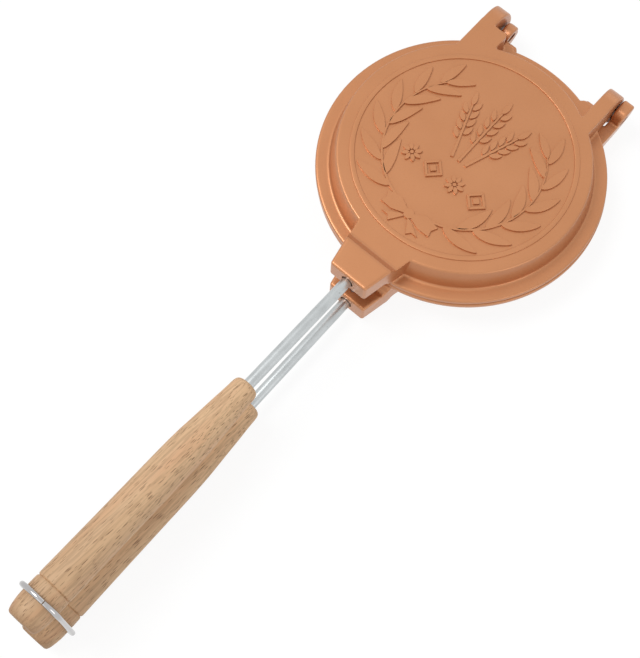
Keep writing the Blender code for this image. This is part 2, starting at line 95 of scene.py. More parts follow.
class Graph:
    """Node tree of one material or world, with one way of adding nodes."""

    def __init__(self, owner: Union[bpy.types.Material, bpy.types.World], output: str) -> None:
        """Empty the owner's tree and add its output node.

        Args:
            owner: The material or world.
            output: Blender's type name of the output node.
        """
        owner.use_nodes = True
        self.owner = owner
        self.tree = owner.node_tree
        self.tree.nodes.clear()
        self.output = self.tree.nodes.new(output)

    @classmethod
    def for_material(cls, name: str) -> "Graph":
        """Graph of a new material."""
        return cls(bpy.data.materials.new(name), "ShaderNodeOutputMaterial")

    def node(self, kind: str, settings: Optional[dict] = None,
             sockets: Optional[dict] = None) -> bpy.types.Node:
        """Add a node, its settings first and then its sockets.

        Args:
            kind: Blender's type name of the node.
            settings: Properties of the node, or "stops" for the stops of a ramp.
            sockets: Values, links or wrapped values, by input name or index.

        Returns:
            The new node.
        """
        made = self.tree.nodes.new(kind)
        for key, value in (settings or {}).items():
            if key == "stops":
                self._set_stops(made.color_ramp, value)
            else:
                setattr(made, key, value)
        for key, value in (sockets or {}).items():
            self.connect(made.inputs[key], value)
        return made

    def connect(self, socket: bpy.types.NodeSocket, value: object) -> None:
        """Link a wrapped value into a socket, or set the socket's own value.

        Args:
            socket: An input socket.
            value: A wrapped value, an output socket or a plain number or colour.
        """
        if isinstance(value, Value):
            self.tree.links.new(value.socket, socket)
        elif isinstance(value, bpy.types.NodeSocket):
            self.tree.links.new(value, socket)
        else:
            socket.default_value = value

    def value(self, kind: str, output: Union[str, int], settings: Optional[dict] = None,
              sockets: Optional[dict] = None) -> "Value":
        """Add a node and wrap one of its outputs."""
        return Value(self, self.node(kind, settings, sockets).outputs[output])

    def show(self, shader: bpy.types.Node) -> Union[bpy.types.Material, bpy.types.World]:
        """Link a shader to the output and hand back the material or world."""
        self.connect(self.output.inputs["Surface"], shader.outputs[0])
        return self.owner

    def looked_at(self) -> "Value":
        """One for rays that show the surface itself, and zero for rays that gather light.

        Returns:
            The wrapped sum over camera, glossy and transmission rays.
        """
        rays = self.node("ShaderNodeLightPath")
        names = ("Is Camera Ray", "Is Glossy Ray", "Is Transmission Ray")
        camera, glossy, through = (Value(self, rays.outputs[name]) for name in names)
        return camera + glossy + through

    @staticmethod
    def _set_stops(ramp: bpy.types.ColorRamp, stops: Stops) -> None:
        """Give a ramp grey stops.

        Args:
            ramp: The ramp of a node.
            stops: (position, level) of each stop.
        """
        while len(ramp.elements) > len(stops):
            ramp.elements.remove(ramp.elements[-1])
        while len(ramp.elements) < len(stops):
            ramp.elements.new(1.0)
        for element, (position, level) in zip(ramp.elements, stops):
            element.position = position
            element.color = (level, level, level, 1.0)


class Value:
    """A number in a shader graph that Python's operators work on."""

    def __init__(self, graph: Graph, socket: bpy.types.NodeSocket) -> None:
        """Wrap an output socket of the graph."""
        self.graph = graph
        self.socket = socket

    def _math(self, operation: str, *items: object) -> "Value":
        """Result of a Math node on numbers or wrapped values."""
        return self.graph.value("ShaderNodeMath", 0, {"operation": operation}, dict(enumerate(items)))

    def __add__(self, other: object) -> "Value":
        """Sum."""
        return self._math("ADD", self, other)

    __radd__ = __add__

    def __sub__(self, other: object) -> "Value":
        """Difference."""
        return self._math("SUBTRACT", self, other)

    def __rsub__(self, other: object) -> "Value":
        """Difference with this value taken away."""
        return self._math("SUBTRACT", other, self)

    def __mul__(self, other: object) -> "Value":
        """Product."""
        return self._math("MULTIPLY", self, other)

    __rmul__ = __mul__

    def __truediv__(self, other: object) -> "Value":
        """Quotient."""
        return self._math("DIVIDE", self, other)

    def power(self, exponent: float) -> "Value":
        """This value raised to a power."""
        return self._math("POWER", self, exponent)

    def wave(self) -> "Value":
        """Sine of this value."""
        return self._math("SINE", self)

    def ramp(self, stops: Stops) -> "Value":
        """This value mapped through a grey ramp."""
        return self.graph.value("ShaderNodeValToRGB", "Color", {"stops": stops}, {"Fac": self})


class Palette:
    """Colour and texture helpers that share one graph."""

    def __init__(self, graph: Graph) -> None:
        """Keep the graph and its Object coordinates."""
        self.graph = graph
        self.place = graph.node("ShaderNodeTexCoord").outputs["Object"]

    def _mapped(self, scale: Triple, turn: float) -> bpy.types.NodeSocket:
        """The piece's own coordinates, turned about the vertical and then scaled.

        Args:
            scale: Features per metre along each axis.
            turn: Turn in radians.

        Returns:
            The socket of the coordinates.
        """
        turned = self.graph.node("ShaderNodeMapping", {"vector_type": "TEXTURE"},
                                 {"Vector": self.place, "Rotation": (0.0, 0.0, turn)})
        scaled = self.graph.node("ShaderNodeMapping", None,
                                 {"Vector": turned.outputs["Vector"], "Scale": scale})
        return scaled.outputs["Vector"]

    def noise(self, scale: Triple, detail: float = 3.0, roughness: float = 0.55,
              turn: float = 0.0) -> Value:
        """Noise from 0 to 1 on the piece's own coordinates.

        Args:
            scale: Features per metre along each axis.
            detail: Octaves.
            roughness: Share of each further octave.
            turn: Turn of the pattern about the vertical, in radians.

        Returns:
            The wrapped noise.
        """
        return self.graph.value("ShaderNodeTexNoise", "Fac", None, {
            "Vector": self._mapped(scale, turn), "Scale": 1.0, "Detail": detail,
            "Roughness": roughness})

    def dashes(self, cell: Triple, turn: float = 0.0) -> tuple[Value, Value]:
        """Scattered cells, for short marks drawn out along the cell's longest side.

        Args:
            cell: Size of a cell along each axis, in metres.
            turn: Turn of the pattern about the vertical, in radians.

        Returns:
            Distance from the middle of the nearest cell, and a number of its own for each cell.
        """
        cells = self.graph.node("ShaderNodeTexVoronoi", {"feature": "F1"}, {
            "Vector": self._mapped(tuple(1.0 / side for side in cell), turn),
            "Scale": 1.0, "Randomness": 1.0})
        return Value(self.graph, cells.outputs["Distance"]), Value(self.graph, cells.outputs["Color"])

    def blend(self, amount: Value, first: object, second: object) -> bpy.types.NodeSocket:
        """Mix two colours.

        Args:
            amount: Share of the second colour.
            first: A plain colour or a socket.
            second: A plain colour or a socket.

        Returns:
            The socket of the mixed colour.
        """
        made = self.graph.node("ShaderNodeMix", {"data_type": "RGBA"},
                               {0: amount, 6: self._solid(first), 7: self._solid(second)})
        return made.outputs[2]

    @staticmethod
    def _solid(colour: object) -> object:
        """Give a plain colour its fourth number."""
        return (*colour, 1.0) if isinstance(colour, tuple) else colour

    def bump(self, height: Value, strength: float, distance: float,
             below: object = None) -> bpy.types.NodeSocket:
        """Normal from a height.

        Args:
            height: The wrapped height.
            strength: Share of the bump, below zero for dents.
            distance: Height in metres that a full step stands for.
            below: Normal that it lies on, if there is one.

        Returns:
            The socket of the normal.
        """
        sockets = {"Height": height, "Strength": strength, "Distance": distance}
        if below is not None:
            sockets["Normal"] = below
        return self.graph.node("ShaderNodeBump", None, sockets).outputs["Normal"]


# Finishes


@dataclass(frozen=True)
class CopperFinish:
    """Satin copper-coloured coating on a cast plate.

    Here and in the other finishes lengths are in metres, stops are (position, level) of a ramp, and
    a sway is how far a pattern moves the roughness.
    """

    colour: Triple = (0.53, 0.222, 0.092)
    thin: Triple = (0.57, 0.25, 0.11)
    deep: Triple = (0.45, 0.175, 0.068)
    metallic: float = 0.6
    roughness: float = 0.40
    coat: float = 0.3
    coat_roughness: float = 0.15
    cloud_per_metre: float = 45.0
    cloud_stops: Stops = ((0.35, 0.0), (0.65, 0.35))
    cloud_sway: float = 0.08
    speck_per_metre: float = 1400.0
    speck_stops: Stops = ((0.55, 0.0), (0.75, 0.22))
    speck_sway: float = 0.10
    skin_per_metre: float = 900.0
    skin_bump: float = 0.10
    skin_depth: float = 0.0002

    def material(self) -> bpy.types.Material:
        """Build the coating with soft clouds, fine specks and a cast skin.

        Returns:
            The material.
        """
        graph = Graph.for_material("copper_coating")
        palette = Palette(graph)
        clouds = palette.noise((self.cloud_per_metre,) * 3, detail=2.0)
        specks = palette.noise((self.speck_per_metre,) * 3, detail=2.0)
        skin = palette.noise((self.skin_per_metre,) * 3, detail=4.0, roughness=0.6)
        base = palette.blend(clouds.ramp(self.cloud_stops), self.colour, self.thin)
        base = palette.blend(specks.ramp(self.speck_stops), base, self.deep)
        roughness = self.roughness + self.speck_sway * (specks - 0.5) + self.cloud_sway * (clouds - 0.5)
        return graph.show(graph.node("ShaderNodeBsdfPrincipled", None, {
            "Base Color": base, "Metallic": self.metallic, "Roughness": roughness,
            "Coat Weight": self.coat, "Coat Roughness": self.coat_roughness,
            "Normal": palette.bump(skin, self.skin_bump, self.skin_depth)}))


@dataclass(frozen=True)
class SteelFinish:
    """Bare or plated steel with a faint mottle, fine lines and a few dark specks."""

    name: str
    colour: Triple
    roughness: float
    mottle: float = 0.12
    specks: float = 0.5
    dark_share: float = 0.45
    patch_scale: Triple = (260.0, 120.0, 260.0)
    patch_stops: Stops = ((0.4, 0.0), (0.62, 1.0))
    patch_sway: float = 0.10
    spot_scale: Triple = (700.0, 700.0, 700.0)
    spot_stops: Stops = ((0.73, 0.0), (0.77, 1.0))
    line_scale: Triple = (2600.0, 90.0, 2600.0)
    line_sway: float = 0.06
    line_bump: float = 0.04
    line_depth: float = 0.0001

    def material(self) -> bpy.types.Material:
        """Build the steel.

        Returns:
            The material.
        """
        graph = Graph.for_material(self.name)
        palette = Palette(graph)
        dark = tuple(self.dark_share * share for share in self.colour)
        dull = tuple((1.0 - self.mottle) * share for share in self.colour)
        patches = palette.noise(self.patch_scale, detail=4.0, roughness=0.6)
        spots = palette.noise(self.spot_scale, detail=1.0)
        lines = palette.noise(self.line_scale, detail=2.0)
        base = palette.blend(patches.ramp(self.patch_stops), self.colour, dull)
        base = palette.blend(self.specks * spots.ramp(self.spot_stops), base, dark)
        roughness = self.roughness + self.patch_sway * (patches - 0.5) + self.line_sway * (lines - 0.5)
        return graph.show(graph.node("ShaderNodeBsdfPrincipled", None, {
            "Base Color": base, "Metallic": 1.0, "Roughness": roughness,
            "Normal": palette.bump(lines, self.line_bump, self.line_depth)}))


@dataclass(frozen=True)
class BeechFinish:
    """Plain turned beech: rings, streaks and fine dark flecks along the bar, with painted shade that
    darkens it toward the end, and end grain with painted shade on the rounded end.
    """

    # Colours
    light: Triple = (0.83, 0.55, 0.32)
    warm: Triple = (0.72, 0.46, 0.26)
    rosy: Triple = (0.79, 0.44, 0.242)
    # Dark colour of the flecks and fibre, also used for the painted shade toward the end
    dark_fleck_and_shade: Triple = (0.15, 0.062, 0.020)
    roughness: float = 0.6
    # Rings, streaks, patches and fibre
    grain_turn: float = math.radians(-3.0)
    pith: Triple = (0.052, 0.0, 0.071)
    ring_width: float = 0.0023
    ring_share: float = 0.16
    ring_drift: float = 9.0
    drift_scale: Triple = (22.0, 5.0, 22.0)
    streak_scale: Triple = (420.0, 12.0, 420.0)
    streak_stops: Stops = ((0.35, 0.0), (0.65, 0.75))
    streak_sway: float = 0.12
    patch_scale: Triple = (150.0, 16.0, 150.0)
    patch_stops: Stops = ((0.52, 0.0), (0.7, 0.6))
    fibre_scale: Triple = (1300.0, 45.0, 1300.0)
    fibre_stops: Stops = ((0.48, 0.0), (0.58, 0.22))
    fibre_bump: float = 0.18
    fibre_depth: float = 0.0002
    # Dark flecks
    fleck_cell: Triple = (0.00034, 0.0070, 0.00055)
    fleck_spread: float = 0.28
    fleck_stops: Stops = ((0.29, 1.0), (0.37, 0.0))
    fleck_sway: float = 0.1
    fleck_bump: float = -0.35
    fleck_depth: float = 0.0003
    # Painted shade that darkens toward the end, and end grain with painted shade on the sawn face
    end_shade_share: float = 0.26
    end_depth: float = 0.006
    end_grain_shade_share: float = 0.45

    def material(self) -> bpy.types.Material:
        """Build the wood as a solid pattern that any cut shows.

        Returns:
            The material.
        """
        graph = Graph.for_material("beech_wood")
        palette = Palette(graph)
        drift = palette.noise(self.drift_scale, detail=2.0)
        apart = graph.node("ShaderNodeSeparateXYZ", None, {"Vector": palette.place})
        across = Value(graph, apart.outputs["X"]) - self.pith[0]
        along = Value(graph, apart.outputs["Y"])
        height = Value(graph, apart.outputs["Z"]) - self.pith[2]
        distance = (across * across + height * height).power(0.5)
        rings = (distance * (2.0 * math.pi / self.ring_width) + self.ring_drift * drift).wave()
        streaks = palette.noise(self.streak_scale, detail=3.0, roughness=0.6, turn=self.grain_turn)
        patches = palette.noise(self.patch_scale, detail=2.0, roughness=0.5, turn=self.grain_turn)
        fibre = palette.noise(self.fibre_scale, detail=2.0, roughness=0.5, turn=self.grain_turn)
        distance_in_cell, own = palette.dashes(self.fleck_cell, self.grain_turn)
        marks = (distance_in_cell + self.fleck_spread * own).ramp(self.fleck_stops)
        low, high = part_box("upper_grip")
        # Painted shade that grows toward the grip's end, and end grain with painted shade over its last few
        # millimetres
        painted_end_shade = (high.y - along) / (high.y - low.y)
        end_grain_and_shade = ((low.y + self.end_depth - along) / self.end_depth).ramp(((0.0, 0.0), (1.0, self.end_grain_shade_share)))
        base = palette.blend(streaks.ramp(self.streak_stops), self.light, self.warm)
        base = palette.blend(patches.ramp(self.patch_stops), base, self.rosy)
        base = palette.blend(self.ring_share * (rings * 0.5 + 0.5), base, self.warm)
        # The dark colour also lays on the painted shade toward the end and on the rounded end
        for amount in (fibre.ramp(self.fibre_stops), marks, self.end_shade_share * painted_end_shade, end_grain_and_shade):
            base = palette.blend(amount, base, self.dark_fleck_and_shade)
        pores = palette.bump(marks, self.fleck_bump, self.fleck_depth)
        roughness = self.roughness + self.streak_sway * (streaks - 0.5) + self.fleck_sway * marks
        return graph.show(graph.node("ShaderNodeBsdfPrincipled", None, {
            "Base Color": base, "Roughness": roughness,
            "Normal": palette.bump(fibre, self.fibre_bump, self.fibre_depth, pores)}))


class Finishes:
    """The finishes of the object, made once: one for each slot and one for the ring's brighter wire."""

    def __init__(self) -> None:
        """Build every material."""
        plated = SteelFinish("plated_steel", colour=(0.54, 0.565, 0.57), roughness=0.34)
        plain = SteelFinish("plain_steel", colour=(0.52, 0.51, 0.51), roughness=0.42, mottle=0.25)
        wire = SteelFinish("bright_wire", colour=(0.47, 0.46, 0.46), roughness=0.14, mottle=0.05,
                           specks=0.0)
        self.materials = {
            Slot.COPPER: CopperFinish().material(),
            Slot.BRIGHT_STEEL: plated.material(),
            Slot.PLAIN_STEEL: plain.material(),
            Slot.BEECH: BeechFinish().material(),
        }
        self.wire = wire.material()


# Shapes


def rounded(corners: Sequence[Corner], closed: bool = True, steps: int = 6) -> list[Point2]:
    """Turn corners with radii into an outline with arcs.

    Args:
        corners: (first, second, radius) of each corner.
        closed: Whether the last corner joins the first.
        steps: Pieces of each arc.

    Returns:
        Points of the outline.
    """
    points: list[Point2] = []
    for index, (first, second, radius) in enumerate(corners):
        here = Vector((first, second))
        if radius == 0 or (not closed and index in (0, len(corners) - 1)):
            points.append((here.x, here.y))
            continue
        back = (Vector(corners[index - 1][:2]) - here).normalized()
        ahead = (Vector(corners[(index + 1) % len(corners)][:2]) - here).normalized()
        angle = back.angle(ahead)
        centre = here + (back + ahead).normalized() * radius / math.sin(angle / 2)
        start = here + back * radius / math.tan(angle / 2) - centre
        end = here + ahead * radius / math.tan(angle / 2) - centre
        sweep = math.pi - angle
        for step in range(steps + 1):
            share = step / steps
            mixed = start * math.sin((1 - share) * sweep) + end * math.sin(share * sweep)
            spot = centre + mixed / math.sin(sweep)
            points.append((spot.x, spot.y))
    return points


def arc(centre: Point2, reach: float, rise: float, start: float, end: float, steps: int) -> list[Point2]:
    """Points of an ellipse's arc.

    Args:
        centre: Middle of the ellipse.
        reach: Half its size along the first axis.
        rise: Half its size along the second.
        start: First angle, in degrees.
        end: Last angle, in degrees.
        steps: Pieces of the arc.

    Returns:
        The points, both ends included.
    """
    points = []
    for step in range(steps + 1):
        angle = math.radians(start + (end - start) * step / steps)
        points.append((centre[0] + reach * math.cos(angle), centre[1] + rise * math.sin(angle)))
    return points


def oval(centre: Point2, reach: float, rise: float, count: int) -> list[Point2]:
    """Points of a whole ellipse, none of them twice."""
    return arc(centre, reach, rise, 0, 360 - 360 / count, count - 1)


def slab(outline: Sequence[Point2], low: float, high: float) -> bmesh.types.BMesh:
    """Extrude an outline along X.

    Args:
        outline: Points in (y, z).
        low: First face along X.
        high: Second face along X.

    Returns:
        The closed solid.
    """
    bm = bmesh.new()
    face = bm.faces.new([bm.verts.new((low, y, z)) for y, z in outline])
    grown = bmesh.ops.extrude_face_region(bm, geom=[face])
    moved = [item for item in grown["geom"] if isinstance(item, bmesh.types.BMVert)]
    bmesh.ops.translate(bm, vec=(high - low, 0, 0), verts=moved)
    bmesh.ops.recalc_face_normals(bm, faces=bm.faces)
    return bm


def spun(profile: Sequence[Point2], steps: int) -> bmesh.types.BMesh:
    """Spin a line all the way round Z.

    Args:
        profile: (radius, height) of each point.
        steps: Faces round the axis.

    Returns:
        The closed solid.
    """
    bm = bmesh.new()
    line = [bm.verts.new((radius, 0, height)) for radius, height in profile]
    edges = [bm.edges.new(pair) for pair in zip(line, line[1:])]
    bmesh.ops.spin(bm, geom=line + edges, cent=(0, 0, 0), axis=(0, 0, 1), dvec=(0, 0, 0),
                   angle=2 * math.pi, steps=steps, use_merge=True, use_duplicate=False)
    bmesh.ops.remove_doubles(bm, verts=bm.verts, dist=WELD)
    bmesh.ops.recalc_face_normals(bm, faces=bm.faces)
    return bm


def rolled(bm: bmesh.types.BMesh, chosen: Callable[[bmesh.types.BMEdge], bool], width: float,
           segments: int = 4) -> None:
    """Round some edges of a solid.

    Args:
        bm: The solid.
        chosen: Says of an edge whether it is rounded.
        width: Size of the rounding.
        segments: Faces across it.
    """
    edges = [edge for edge in bm.edges if chosen(edge)]
    bmesh.ops.bevel(bm, geom=edges, offset=width, affect="EDGES", segments=segments, profile=0.5,
                    material=-1, clamp_overlap=True)


def bar(radius: float, length: float, edge: float, steps: int) -> bmesh.types.BMesh:
    """Round bar along +Z from the origin.

    Args:
        radius: Its radius.
        length: From end to end.
        edge: Radius of its ends' edges.
        steps: Faces round the axis.

    Returns:
        The closed solid.
    """
    profile = rounded([(0, 0, 0), (radius, 0, edge), (radius, length, edge), (0, length, 0)],
                      closed=False, steps=4)
    return spun(profile, steps)


def aimed(bm: bmesh.types.BMesh, start: Vector, end: Vector) -> bmesh.types.BMesh:
    """Turn a shape built along +Z so that it runs from one point toward another.

    Args:
        bm: The shape.
        start: Where its origin goes.
        end: Where it points.

    Returns:
        The same shape.
    """
    turn = (end - start).to_track_quat("Z", "Y").to_matrix().to_4x4()
    bmesh.ops.transform(bm, matrix=Matrix.Translation(start) @ turn, verts=bm.verts)
    return bm


def mesh_from(bm: bmesh.types.BMesh, name: str) -> bpy.types.Mesh:
    """Store a bmesh as a mesh and free it.

    Args:
        bm: The shape.
        name: Name of the mesh.

    Returns:
        The mesh.
    """
    mesh = bpy.data.meshes.new(name)
    bm.to_mesh(mesh)
    bm.free()
    return mesh


def joined(shapes: Sequence[bmesh.types.BMesh], name: str) -> bpy.types.Mesh:
    """Put several shapes into one mesh, each still a body of its own.

    Args:
        shapes: The shapes, which are freed.
        name: Name of the mesh.

    Returns:
        The mesh.
    """
    whole = bmesh.new()
    for index, shape in enumerate(shapes):
        part = mesh_from(shape, f"{name}_{index}")
        whole.from_mesh(part)
        bpy.data.meshes.remove(part)
    return mesh_from(whole, name)


def linked(name: str, data: bpy.types.ID) -> bpy.types.Object:
    """Add an object to the scene.

    Args:
        name: Name of the object.
        data: Its mesh, curve, light or camera.

    Returns:
        The object.
    """
    made = bpy.data.objects.new(name, data)
    bpy.context.scene.collection.objects.link(made)
    return made


def evaluated(holder: bpy.types.Object, name: str) -> bpy.types.Mesh:
    """Mesh of an object with its modifiers applied.

    Args:
        holder: The object.
        name: Name of the new mesh.

    Returns:
        The mesh.
    """
    graph = bpy.context.evaluated_depsgraph_get()
    graph.update()
    mesh = bpy.data.meshes.new_from_object(holder.evaluated_get(graph))
    mesh.name = name
    return mesh


class Half:
    """One half of the maker: its body in the frame and its place there."""

    def __init__(self, side: Side, hinge_back: float) -> None:
        """Read the half's place from the frame.

        Args:
            side: Which half.
            hinge_back: Distance from the plate's middle to the hinge line.
        """
        self.side = side
        self.body = f"{side.value}_half"
        hinge = Vector(next(joint for joint in frame["joints"] if joint["type"] == "hinge")["pos_m"])
        low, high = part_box(f"{side.value}_rod")
        middle = Vector(((low.x + high.x) / 2, hinge.y - hinge_back * MM, hinge.z))
        turn = Matrix.Identity(4) if side is Side.UPPER else Matrix.Rotation(math.pi, 4, "Y")
        self.matrix = Matrix.Translation(middle) @ turn @ Matrix.Scale(MM, 4)

    def node(self, piece: str) -> str:
        """Name of a CAD node or a piece of this half."""
        return f"{self.side.value}_{piece}"


def place(mesh: bpy.types.Mesh, name: str, matrix: Matrix, body: str, slot: Slot,
          material: bpy.types.Material, sharp: float = 38.0, replaces: Sequence[str] = ()) -> None:
    """Put a finished mesh into the scene.

    Args:
        mesh: Mesh in millimetres in its own frame.
        name: Name of the piece.
        matrix: From the piece's own frame to the scene.
        body: CAD body that the piece rides on.
        slot: The record's slot for its finish, not used.
        material: Its finish.
        sharp: Edges over this many degrees stay sharp.
        replaces: CAD nodes that the piece stands for.
    """
    mesh.transform(matrix)
    mesh.polygons.foreach_set("use_smooth", [True] * len(mesh.polygons))
    mesh.set_sharp_from_angle(angle=math.radians(sharp))
    mesh.materials.clear()
    mesh.materials.append(material)
    made = linked(name, mesh)
    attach(made, body)
    if replaces:
        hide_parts(*replaces)
    LOG.info("%s: %d faces on %s", name, len(mesh.polygons), body)


# Sub-assemblies


@dataclass
class Casting:
    """One cast plate with its neck, rod block and hinge lugs, in one skin with rolled edges.

    Radii and places are measured from the plate's middle, heights from the parting face. In a name,
    round is the radius of an edge, sunk how far a shape reaches into its neighbour, and past how far
    it goes beyond. The neck's seat, tuck and web are where its underside meets the flange, and the
    web's points are given from the flange's edge and the block's underside.
    """

    outer_lug_width: float
    inner_lug_width: float
    gusset_back: float
    # Plate
    plate_radius: float = 64.95
    split: float = 0.15
    parting_round: float = 0.4
    flange_height: float = 3.1
    flange_round: float = 0.8
    wall_foot: float = 58.75
    foot_round: float = 0.7
    rim_radius: float = 56.2
    rim_height: float = 13.87
    rim_round: float = 0.6
    # Hollow
    wall: float = 2.75
    mouth_depth: float = 0.8
    mouth_flare: float = 0.6
    hollow_flare: float = 0.8
    hollow_start: float = -1.0
    hollow_round: float = 2.6
    # Bead
    bead_radius: float = 49.3
    bead_width: float = 2.4
    bead_height: float = 0.55
    bead_round: float = 0.35
    bead_sunk: float = 0.3
    # Neck, ramp and rod block
    neck_half_width: float = 14.5
    neck_start: float = 54.4
    neck_sunk: float = 4.2
    neck_seat: float = 3.0
    neck_web: tuple[Point2, ...] = ((3.4, 0.0), (1.0, -0.9))
    neck_tuck: float = 0.3
    block_half_width: float = 9.6
    block_front: float = 78.6
    block_top: float = 16.7
    block_under: float = 5.7
    block_round: float = 1.2
    ramp_foot: float = 61.8
    ramp_top: float = 65.0
    ramp_round: float = 0.8
    # Hinge arms
    hinge_back: float = 68.4
    arm_flat_end: float = 63.0
    arm_end: float = 75.5
    arm_sunk: float = 1.8
    arm_past_bead: float = 2.4
    lug_outer: float = 39.3
    lug_inner: float = 25.8
    lug_round: float = 0.9
    draft: float = 0.09
    face_lean: float = 2.0
    base_inner: float = 23.4
    base_back: float = 60.3
    base_past_bead: float = 1.8
    notch_round: float = 2.0
    gusset_inner: float = 19.4
    gusset_root: float = 9.0
    gusset_chamfer: float = 1.4
    gusset_sunk: float = 1.5
    # Knuckles, with their angles in degrees
    inner_knuckle: float = 5.4
    inner_knuckle_end: float = 355.0
    inner_back_start: float = 14.0
    outer_knuckle_front: float = 4.3
    outer_knuckle_height: float = 6.9
    outer_knuckle_flat: float = 3.6
    outer_knuckle_corner: float = 2.4
    outer_knuckle_start: float = 186.0
    outer_corner_end: float = 350.0
    outer_back_start: float = 2.0
    # Holes
    pin_hole: float = 2.8
    rod_height: float = 11.2
    rod_spread: float = math.radians(1.55)
    rod_hole: float = 3.0
    rod_in_block: float = 12.9
    screw_hole: float = 1.56
    screw_from_front: float = 5.0
    cut_past: float = 2.0
    rod_cut_past: float = 3.0
    cut_edge: float = 0.2
    # Skin
    skin_voxel: float = 0.42
    soften_share: float = 0.5
    soften_rounds: int = 3
    most_triangles: int = 150000
    round_steps: int = 192

    @property
    def slope(self) -> float:
        """How far the wall leans in for each millimetre of height."""
        return (self.wall_foot - self.rim_radius) / (self.rim_height - self.flange_height)

    def rod_point(self, distance: float) -> Vector:
        """Point on the rod's axis this far in front of the plate's middle."""
        rise = math.tan(self.rod_spread) * (distance - self.block_front)
        return Vector((0, -distance, self.rod_height + rise))

    def pan(self) -> bmesh.types.BMesh:
        """The round plate without its hollow.

        Returns:
            The closed solid.
        """
        profile = rounded([
            (0, self.rim_height, 0), (self.rim_radius, self.rim_height, self.rim_round),
            (self.wall_foot, self.flange_height, self.foot_round),
            (self.plate_radius, self.flange_height, self.flange_round),
            (self.plate_radius, self.split, self.parting_round), (0, self.split, 0)], closed=False)
        return spun(profile, self.round_steps)

    def hollow(self) -> bmesh.types.BMesh:
        """The space for the bread, as a cutter.

        Returns:
            The closed solid.
        """
        ceiling = self.rim_height - self.wall
        mouth = self.wall_foot - self.wall + self.slope * self.flange_height
        profile = rounded([
            (0, self.hollow_start, 0), (mouth + self.hollow_flare, self.hollow_start, 0),
            (mouth + self.mouth_flare, self.split, 0), (mouth, self.split + self.mouth_depth, 0),
            (mouth - self.slope * ceiling, ceiling, self.hollow_round), (0, ceiling, 0)], closed=False)
        return spun(profile, self.round_steps)

    def neck(self) -> bmesh.types.BMesh:
        """Flat neck, ramp and rod block, narrowing toward the handle.

        Returns:
            The closed solid.
        """
        root = self.rim_radius - self.neck_sunk
        hold = 0.5 * self.flange_height
        outline = rounded([
            (root, self.rim_height, 0), (self.ramp_foot, self.rim_height, self.ramp_round),
            (self.ramp_top, self.block_top, 0), (self.block_front, self.block_top, 0),
            (self.block_front, self.block_under, 0),
            *((self.plate_radius + out, self.block_under + up, 0) for out, up in self.neck_web),
            (self.plate_radius - self.neck_tuck, self.flange_height, 0),
            (self.plate_radius - self.neck_seat, hold, 0), (root, hold, 0)])
        bm = slab([(-distance, z) for distance, z in outline], -1.0, 1.0)
        taper = (self.neck_half_width - self.block_half_width) / (self.block_front - self.neck_start)
        for vert in bm.verts:
            vert.co.x *= self.neck_half_width - taper * (-vert.co.y - self.neck_start)

        def outer(edge: bmesh.types.BMEdge) -> bool:
            """Whether the edge is one of the block's, in front of the ramp's upper edge.

            Args:
                edge: An edge of the neck.

            Returns:
                Whether it is rounded.
            """
            front, back = sorted(vert.co.y for vert in edge.verts)
            height = sum(vert.co.z for vert in edge.verts) / 2
            beyond = front < -self.ramp_top - NEAR and back < -self.ramp_top + NEAR
            return beyond and height > self.block_under - NEAR

        rolled(bm, outer, self.block_round, segments=5)
        return bm

    def _arm(self, drafted: float, plain: float, roots: Point2,
             outline: Sequence[Point2]) -> bmesh.types.BMesh:
        """A hinge arm between its drafted face and its plain one.

        Args:
            drafted: Where the drafted face lies along X at the parting face.
            plain: Where the plain face lies along X.
            roots: How far back the root ends on the drafted and on the plain side.
            outline: Side view in (y, z), starting and ending at the root.

        Returns:
            The closed arm, its edges still sharp.
        """
        bm = slab(outline, drafted, plain)
        deepest = min(y for y, z in outline)
        for vert in bm.verts:
            on_drafted = abs(vert.co.x - drafted) < NEAR
            if vert.co.y < deepest + NEAR:
                vert.co.y = roots[0] if on_drafted else roots[1]
            if on_drafted:
                vert.co.x += self.draft * vert.co.z
        return bm

    def _softened(self, arm: bmesh.types.BMesh) -> bmesh.types.BMesh:
        """Round the two faces of an arm behind its base.

        Args:
            arm: The closed arm.

        Returns:
            The same arm.
        """
        def flank(edge: bmesh.types.BMEdge) -> bool:
            """Whether the edge runs round one of the two faces, behind the base.

            Args:
                edge: An edge of the arm.

            Returns:
                Whether it is rounded.
            """
            first, second = (vert.co for vert in edge.verts)
            on_face = abs(first.x - second.x) < self.face_lean
            return on_face and min(first.y, second.y) > self.base_back - self.notch_round

        rolled(arm, flank, self.lug_round, segments=4)
        return arm

    def _back(self, radius: float, face: float) -> float:
        """How far back a face at this X meets a circle of this radius."""
        return math.sqrt(radius ** 2 - face ** 2)

    def _in_wall(self, face: float) -> float:
        """How far back an arm's face at this X starts inside the plate's wall."""
        return self._back(self.rim_radius - self.arm_sunk, face)

    def _arm_back(self, lowest: float) -> list[Point2]:
        """The rounded end of an arm, from this angle up to where its flat top starts."""
        reach = self.arm_end - self.arm_flat_end
        return arc((self.arm_flat_end, 0), reach, self.rim_height, lowest, 90, steps=16)

    def base(self) -> bmesh.types.BMesh:
        """Wide base that the outer arm stands on, with a rounded corner beside the notch.

        Returns:
            The closed base.
        """
        roots = (self._in_wall(self.lug_outer),
                 self._back(self.bead_radius + self.base_past_bead, self.base_inner))
        root = min(roots)
        outline = [(root, self.split), (self.base_back, self.split), (self.base_back, self.rim_height),
                   (root, self.rim_height)]
        bm = self._arm(-self.lug_outer, -self.base_inner, roots, outline)

        def notch(edge: bmesh.types.BMEdge) -> bool:
            """Whether the edge is the base's upright corner beside the notch."""
            return all(vert.co.x > -self.base_inner - NEAR and vert.co.y > self.base_back - NEAR
                       for vert in edge.verts)

        rolled(bm, notch, self.notch_round, segments=6)
        return bm

